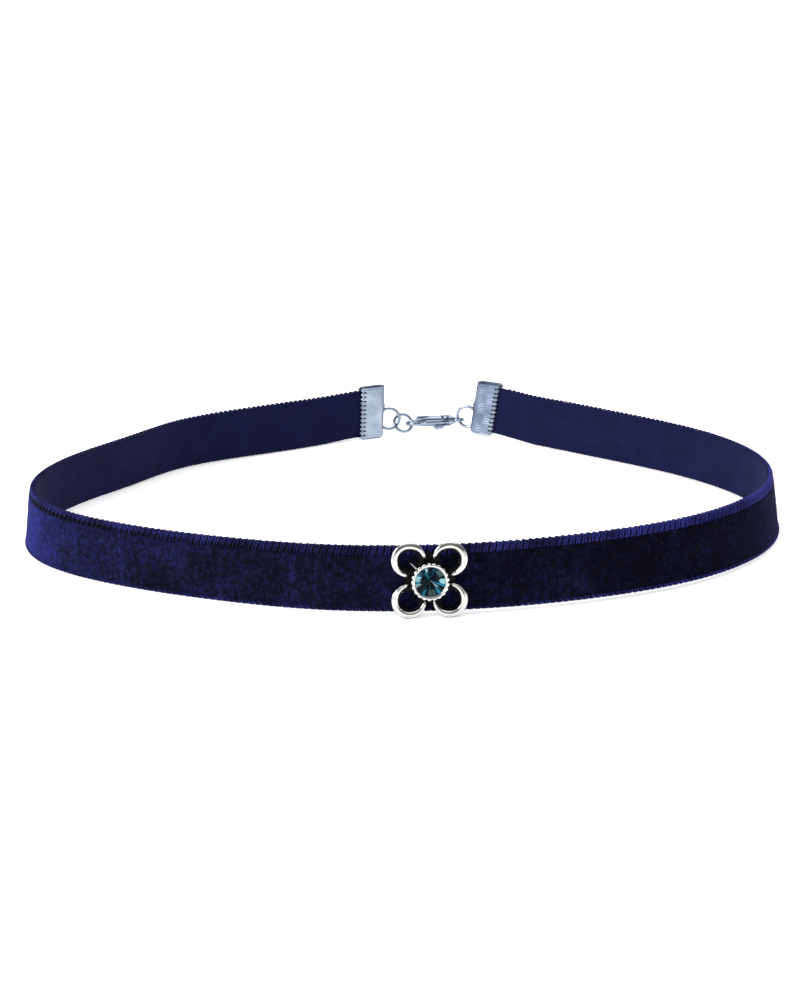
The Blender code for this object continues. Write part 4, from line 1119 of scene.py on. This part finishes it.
def cut_ring(name, node, matrix, radius, cut, steel):
    """Round wire ring with the fine saw cut that it was opened at."""
    gap = 0.05 * MM / radius
    turns = np.linspace(cut + gap, cut + 2.0 * math.pi - gap, 97)
    path = np.stack([radius * np.cos(turns), radius * np.sin(turns), 0.0 * turns], axis=1)
    skin = Skin()
    skin.add(*tube(path, RING_WIRE_RADIUS + RING_PLATING, 20, (0.0, 0.0, 1.0)))
    piece = skin.make(name, [steel], "choker", matrix)
    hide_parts(node)


def ring_place(end, turn, drop):
    heading = (Matrix.Rotation(turn, 3, "Z") @ end.along).normalized()
    centre = end.place(RING_SEAT, 0.0, -drop) + heading * JUMP_RING_RADIUS
    up = Vector((0.0, 0.0, 1.0))
    return frame_of(centre, heading, up, heading.cross(up)), centre, heading


def rim_point(centre, heading, sag, radius):
    return centre + heading * (radius * math.cos(sag)) - Vector((0.0, 0.0, radius * math.sin(sag)))


def build_chain(left_end, right_end, steel):
    """The three rings. Gives the clasp's crown and tail points."""
    left_place, left_centre, left_heading = ring_place(left_end, LEFT_RING_TURN, LEFT_RING_DROP)
    right_place, right_centre, right_heading = ring_place(right_end, RIGHT_RING_TURN, RIGHT_RING_DROP)
    left_link = rim_point(left_centre, left_heading, LEFT_RING_SAG, JUMP_RING_RADIUS)
    tail = rim_point(right_centre, right_heading, RIGHT_RING_SAG, JUMP_RING_RADIUS)
    level = tail - left_link
    level.z = 0.0
    level.normalize()
    along = level * math.cos(LINK_RING_SAG) - Vector((0.0, 0.0, math.sin(LINK_RING_SAG)))
    link_centre = left_link + along * (LINK_RING_RADIUS - 2.0 * RING_WIRE_RADIUS - LINK_GAP)
    across = Vector((0.0, 0.0, 1.0)).cross(level)
    lifted = across * math.cos(LINK_RING_TILT) + along.cross(across) * math.sin(LINK_RING_TILT)
    link_place = frame_of(link_centre, along, lifted, along.cross(lifted))
    for name, node, place, radius, cut in (
            ("ring_by_left_clamp", "jump_ring_left", left_place, JUMP_RING_RADIUS, 70.0),
            ("ring_by_right_clamp", "jump_ring_right", right_place, JUMP_RING_RADIUS, 80.0),
            ("ring_by_hook", "link_ring", link_place, LINK_RING_RADIUS, 100.0)):
        cut_ring(name, node, place, radius, math.radians(cut), steel)
    crown = link_centre + along * (LINK_RING_RADIUS - RING_WIRE_RADIUS - HOOK_GAP - CLASP_BAR_RADIUS)
    return crown, tail


def clasp_frame(crown, tail):
    """Local X runs from the hook's crown to the tail loop, Y is its broad side. Gives its length too."""
    line = tail - crown
    along = line.normalized()
    level_side = Vector((0.0, 0.0, 1.0)).cross(along).normalized()
    side = Matrix.Rotation(CLASP_ROLL, 3, along) @ level_side
    depth = along.cross(side)
    reach = TAIL_LOOP_RADIUS - TAIL_LOOP_WIRE - TAIL_GAP - RING_WIRE_RADIUS
    length = line.length + CLASP_BAR_RADIUS - reach + TAIL_LOOP_RADIUS + TAIL_LOOP_WIRE
    return frame_of(crown - along * CLASP_BAR_RADIUS, along, side, depth), length


def clasp_rows(table, length, spacing):
    scale = (length, CLASP_SPINE_OFFSET, CLASP_BAR_RADIUS, CLASP_BAR_RADIUS)
    rows = [[value * size for value, size in zip(row, scale)] for row in table]
    return [BarRow(*row) for row in smooth_rows(rows, spacing)[1]]


def swept_bar(rows, corners, crease):
    """Bar along a table's rows in the local XY plane, with a rounded first tip and creased flanks."""
    points = []
    for i, row in enumerate(rows):
        before = rows[max(i - 1, 0)]
        after = rows[min(i + 1, len(rows) - 1)]
        heading = math.atan2(after.side - before.side, after.along - before.along)
        tip = math.sqrt(min(1.0, (i + 0.15) / 5.0))
        for around in turns_round(corners):
            dent = 1.0 - crease * math.exp(-(math.sin(around) / 0.22) ** 2)
            out = row.half_width * tip * dent * math.cos(around)
            points.append((row.along - math.sin(heading) * out, row.side + math.cos(heading) * out,
                           row.half_depth * tip * math.sin(around)))
    return points, bar_faces(len(rows), corners)


def pad(centre, reach):
    """Rounded block."""
    rows = 11
    columns = 24
    points = []
    for i in range(rows):
        rise = math.pi * ((i + 0.5) / rows - 0.5)
        for turn in turns_round(columns):
            shape = (math.cos(rise) * math.cos(turn), math.cos(rise) * math.sin(turn), math.sin(rise))
            points.append([c + r * math.copysign(abs(s) ** 0.6, s) for c, r, s in zip(centre, reach, shape)])
    return points, bar_faces(rows, columns)


def moved(mesh, offset):
    points, faces = mesh
    return np.array(points) + np.array(offset), faces


def cheek(sign, half, root):
    """One side of the lever's fork, rounded below the pin and running up into the casting."""
    outline = [(CHEEK_RADIUS * math.cos(turn), CHEEK_RADIUS * math.sin(turn))
               for turn in np.linspace(math.pi, 2.0 * math.pi, 25)]
    outline += [(1.2 * CHEEK_RADIUS, root), (-1.2 * CHEEK_RADIUS, root)]
    levels = ((half, 1.0), (half + 0.8 * CHEEK_THICKNESS, 1.0), (half + CHEEK_THICKNESS, 0.88))
    points = [(x * share, y * share, sign * level) for level, share in levels for x, y in outline]
    return points, bar_faces(len(levels), len(outline))


def build_hook(place, length, pivot, steel):
    skin = Skin()
    skin.add(*swept_bar(clasp_rows(HOOK_TABLE, length, 0.16 * MM), 30, 0.05))
    turns = turns_round(48)
    path = TAIL_LOOP_RADIUS * np.stack([np.cos(turns), np.sin(turns), 0.0 * turns], axis=1)
    path[:, 0] += length - TAIL_LOOP_RADIUS - TAIL_LOOP_WIRE
    skin.add(*tube(path, TAIL_LOOP_WIRE, 16, (0.0, 0.0, 1.0), closed=True))
    half = 0.5 * LEVER_HUB_THICKNESS + LEVER_GAP
    for sign in (-1.0, 1.0):
        skin.add(*moved(cheek(sign, half, CLASP_PIVOT_SIDE + 0.3 * CLASP_SPINE_OFFSET), pivot))
    pin = PIN_RADIUS + 0.02 * MM
    edge = 0.05 * MM
    level = half + CHEEK_THICKNESS + edge
    rings = ((pin - edge, -level), (pin, edge - level), (pin, level - edge), (pin - edge, level))
    skin.add(*moved(hoop(rings, 24, hollow=False), pivot))
    raised = (0.335 * length, 1.02 * CLASP_SPINE_OFFSET, 0.80 * MM)
    skin.add(*pad(raised, (0.115 * length, 0.50 * MM, 0.50 * MM)))
    body = skin.make("clasp_casting", [steel], "choker", place)
    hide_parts("clasp_body")


def build_lever(place, length, pivot, bright):
    skin = Skin()
    skin.add(*swept_bar(clasp_rows(LEVER_TABLE, length, 0.14 * MM), 26, 0.04))
    thumb_tab = (0.535 * length, -1.06 * CLASP_SPINE_OFFSET, -0.85 * MM)
    skin.add(*pad(thumb_tab, (0.085 * length, 0.42 * MM, 0.72 * MM)))
    half = 0.5 * LEVER_HUB_THICKNESS
    outer = LEVER_HUB_RADIUS
    inner = PIN_RADIUS + PIN_CLEARANCE
    edge = 0.08 * MM
    profile = ((inner, -half), (outer - edge, -half), (outer, edge - half), (outer, half - edge),
               (outer - edge, half), (inner, half))
    skin.add(*moved(hoop(profile, 32), pivot))
    lever = skin.make("lever_casting", [bright], "clasp_lever", place)
    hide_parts("clasp_lever")


def build_clasp(crown, tail, steel, bright):
    place, length = clasp_frame(crown, tail)
    pivot = (LEVER_TABLE[-1].along * length, -CLASP_PIVOT_SIDE, 0.0)
    build_hook(place, length, pivot, steel)
    build_lever(place, length, pivot, bright)


# Room

def build_stage():
    """Pale sweep: a level floor that curves up into a backdrop, both one smooth sheet."""
    look = Finish("pale_sweep", Roughness=0.9, Emission_Color=(1.0, 1.0, 1.0, 1.0), Emission_Strength=0.55)
    look.colour(look.noise(3.0, 1.0, 0.5), (0.3, (0.93, 0.935, 0.94)), (0.7, (0.95, 0.95, 0.95)))
    rows = [(-1.4, 0.0), (SWEEP_START, 0.0)]
    for turn in np.linspace(0.1, 0.5 * math.pi, 14):
        rows.append((SWEEP_START + SWEEP_RADIUS * math.sin(turn), SWEEP_RADIUS * (1.0 - math.cos(turn))))
    rows.append((SWEEP_START + SWEEP_RADIUS, SWEEP_TOP))
    points = [(x, y, z) for y, z in rows for x in (-SWEEP_HALF_WIDTH, SWEEP_HALF_WIDTH)]
    mesh = new_mesh("pale_sweep", points, grid_faces(len(rows), 2))
    mesh.materials.append(look.material)
    mesh.shade_smooth()
    new_object("pale_sweep", mesh)


def area_light(name, place, size, power):
    """Soft light that looks at the origin."""
    light = bpy.data.lights.new(name, "AREA")
    light.shape = "RECTANGLE"
    light.size, light.size_y = size
    light.energy = power
    made = new_object(name, light)
    made.location = place
    made.rotation_euler = (-Vector(place)).to_track_quat("-Z", "Y").to_euler()


def build_lights():
    """World that is bright up to the horizon, dark above it and grey overhead, and two soft lights."""
    world = bpy.data.worlds.new("studio")
    world.use_nodes = True
    tree = world.node_tree
    shade = tree.nodes["Background"]
    shade.inputs["Strength"].default_value = 1.0
    place = add_node(tree, "ShaderNodeTexCoord").outputs["Generated"]
    height = add_node(tree, "ShaderNodeSeparateXYZ", {"Vector": place}).outputs["Z"]
    tree.links.new(ramp(tree, height, WORLD_LEVELS), shade.inputs["Color"])
    bpy.context.scene.world = world
    area_light("key_left", (-0.60, -0.30, 0.34), (0.30, 0.30), 4.2)
    area_light("top_soft", (0.0, 0.05, 0.75), (0.9, 0.7), 3.0)


def build_camera():
    """The photograph's view. The flower's drop tips the loop back a little, and the camera with it."""
    tip = math.atan(FLOWER_DROP / TILT_REACH)
    data = bpy.data.cameras.new("photo_view")
    data.lens = CAMERA_LENS
    data.sensor_width = CAMERA_SENSOR
    camera = new_object("photo_view", data)
    y = CAMERA_HINGE_Y - CAMERA_BACK * math.cos(tip) + CAMERA_RISE * math.sin(tip)
    z = CAMERA_RISE * math.cos(tip) + CAMERA_BACK * math.sin(tip)
    camera.location = (CAMERA_X, y, z)
    camera.rotation_euler = (0.5 * math.pi - CAMERA_PITCH - tip, 0.0, 0.0)
    bpy.context.scene.camera = camera


def build_ribbon(ribbon):
    pile = pile_finish()
    woven = woven_finish()
    thread = thread_finish("selvage_thread", (0.010, 0.011, 0.080), (0.038, 0.040, 0.25))
    # The selvage strip and the band's edges are near black: the woven strip, darkened as painted shade in the
    # recess between the stitches and along the edges.
    selvage = thread_finish("selvage_weave_painted_shade", (0.0012, 0.0012, 0.005), (0.006, 0.006, 0.045))
    tuft = fibre_finish("pile_fibre", (0.012, 0.013, 0.075), (0.1, 0.1, 0.7))
    glint = fibre_finish("pile_glint", (0.20, 0.22, 0.42), (0.5, 0.5, 0.9))
    band = build_band(ribbon, [pile, woven, selvage])
    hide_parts("velvet_ribbon")
    stitches = build_stitches(ribbon, thread)
    fibres = build_fibres(ribbon, "pile_fibres", tuft, FIBRES)
    glints = build_fibres(ribbon, "pile_glints", glint, GLINTS)


def build_findings(ribbon):
    """Flower with its stone and washer, clamps, rings and clasp."""
    silver = silver_finish()
    patina = patina_and_gap_shade_finish()
    steel = steel_finish("pale_steel", (0.24, 0.29, 0.39), (0.44, 0.50, 0.61), 0.24)
    plate = steel_finish("pale_plate", (0.31, 0.375, 0.47), (0.43, 0.50, 0.60), 0.42)
    # The right clamp's plate: rougher, and a darker copy of the pale plate's colour as painted shade.
    rough_shaded_plate = steel_finish("rough_shaded_plate", (0.17, 0.215, 0.30), (0.28, 0.33, 0.43), 0.50)
    bright = steel_finish("lever_steel", (0.22, 0.26, 0.35), (0.38, 0.44, 0.55), 0.22)
    reflection_foils = [foil_finish(*row) for row in PAINTED_REFLECTION_FOILS]
    place = flower_frame(ribbon)
    flower = build_flower(place, silver, patina)
    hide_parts("flower_setting")
    crown, foil = build_stone(place, crystal_finish(), reflection_foils)
    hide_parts("stone")
    left_end = RibbonEnd(ribbon, right=False)
    right_end = RibbonEnd(ribbon, right=True)
    build_clamp("left_clamp_plate", "clamp_left", left_end, LEFT_RING_DROP, False, plate, patina)
    build_clamp("right_clamp_plate", "clamp_right", right_end, RIGHT_RING_DROP, True, rough_shaded_plate, patina)
    hook_crown, tail = build_chain(left_end, right_end, steel)
    build_clasp(hook_crown, tail, steel, bright)
    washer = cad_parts["post_washer"]
    washer.data.materials.clear()
    washer.data.materials.append(silver)


def main():
    build_ribbon(Ribbon(FINE_STATION))
    build_findings(Ribbon(RIBBON_STATION))
    build_stage()
    build_lights()
    build_camera()
    bpy.context.scene.view_settings.view_transform = "Standard"


main()
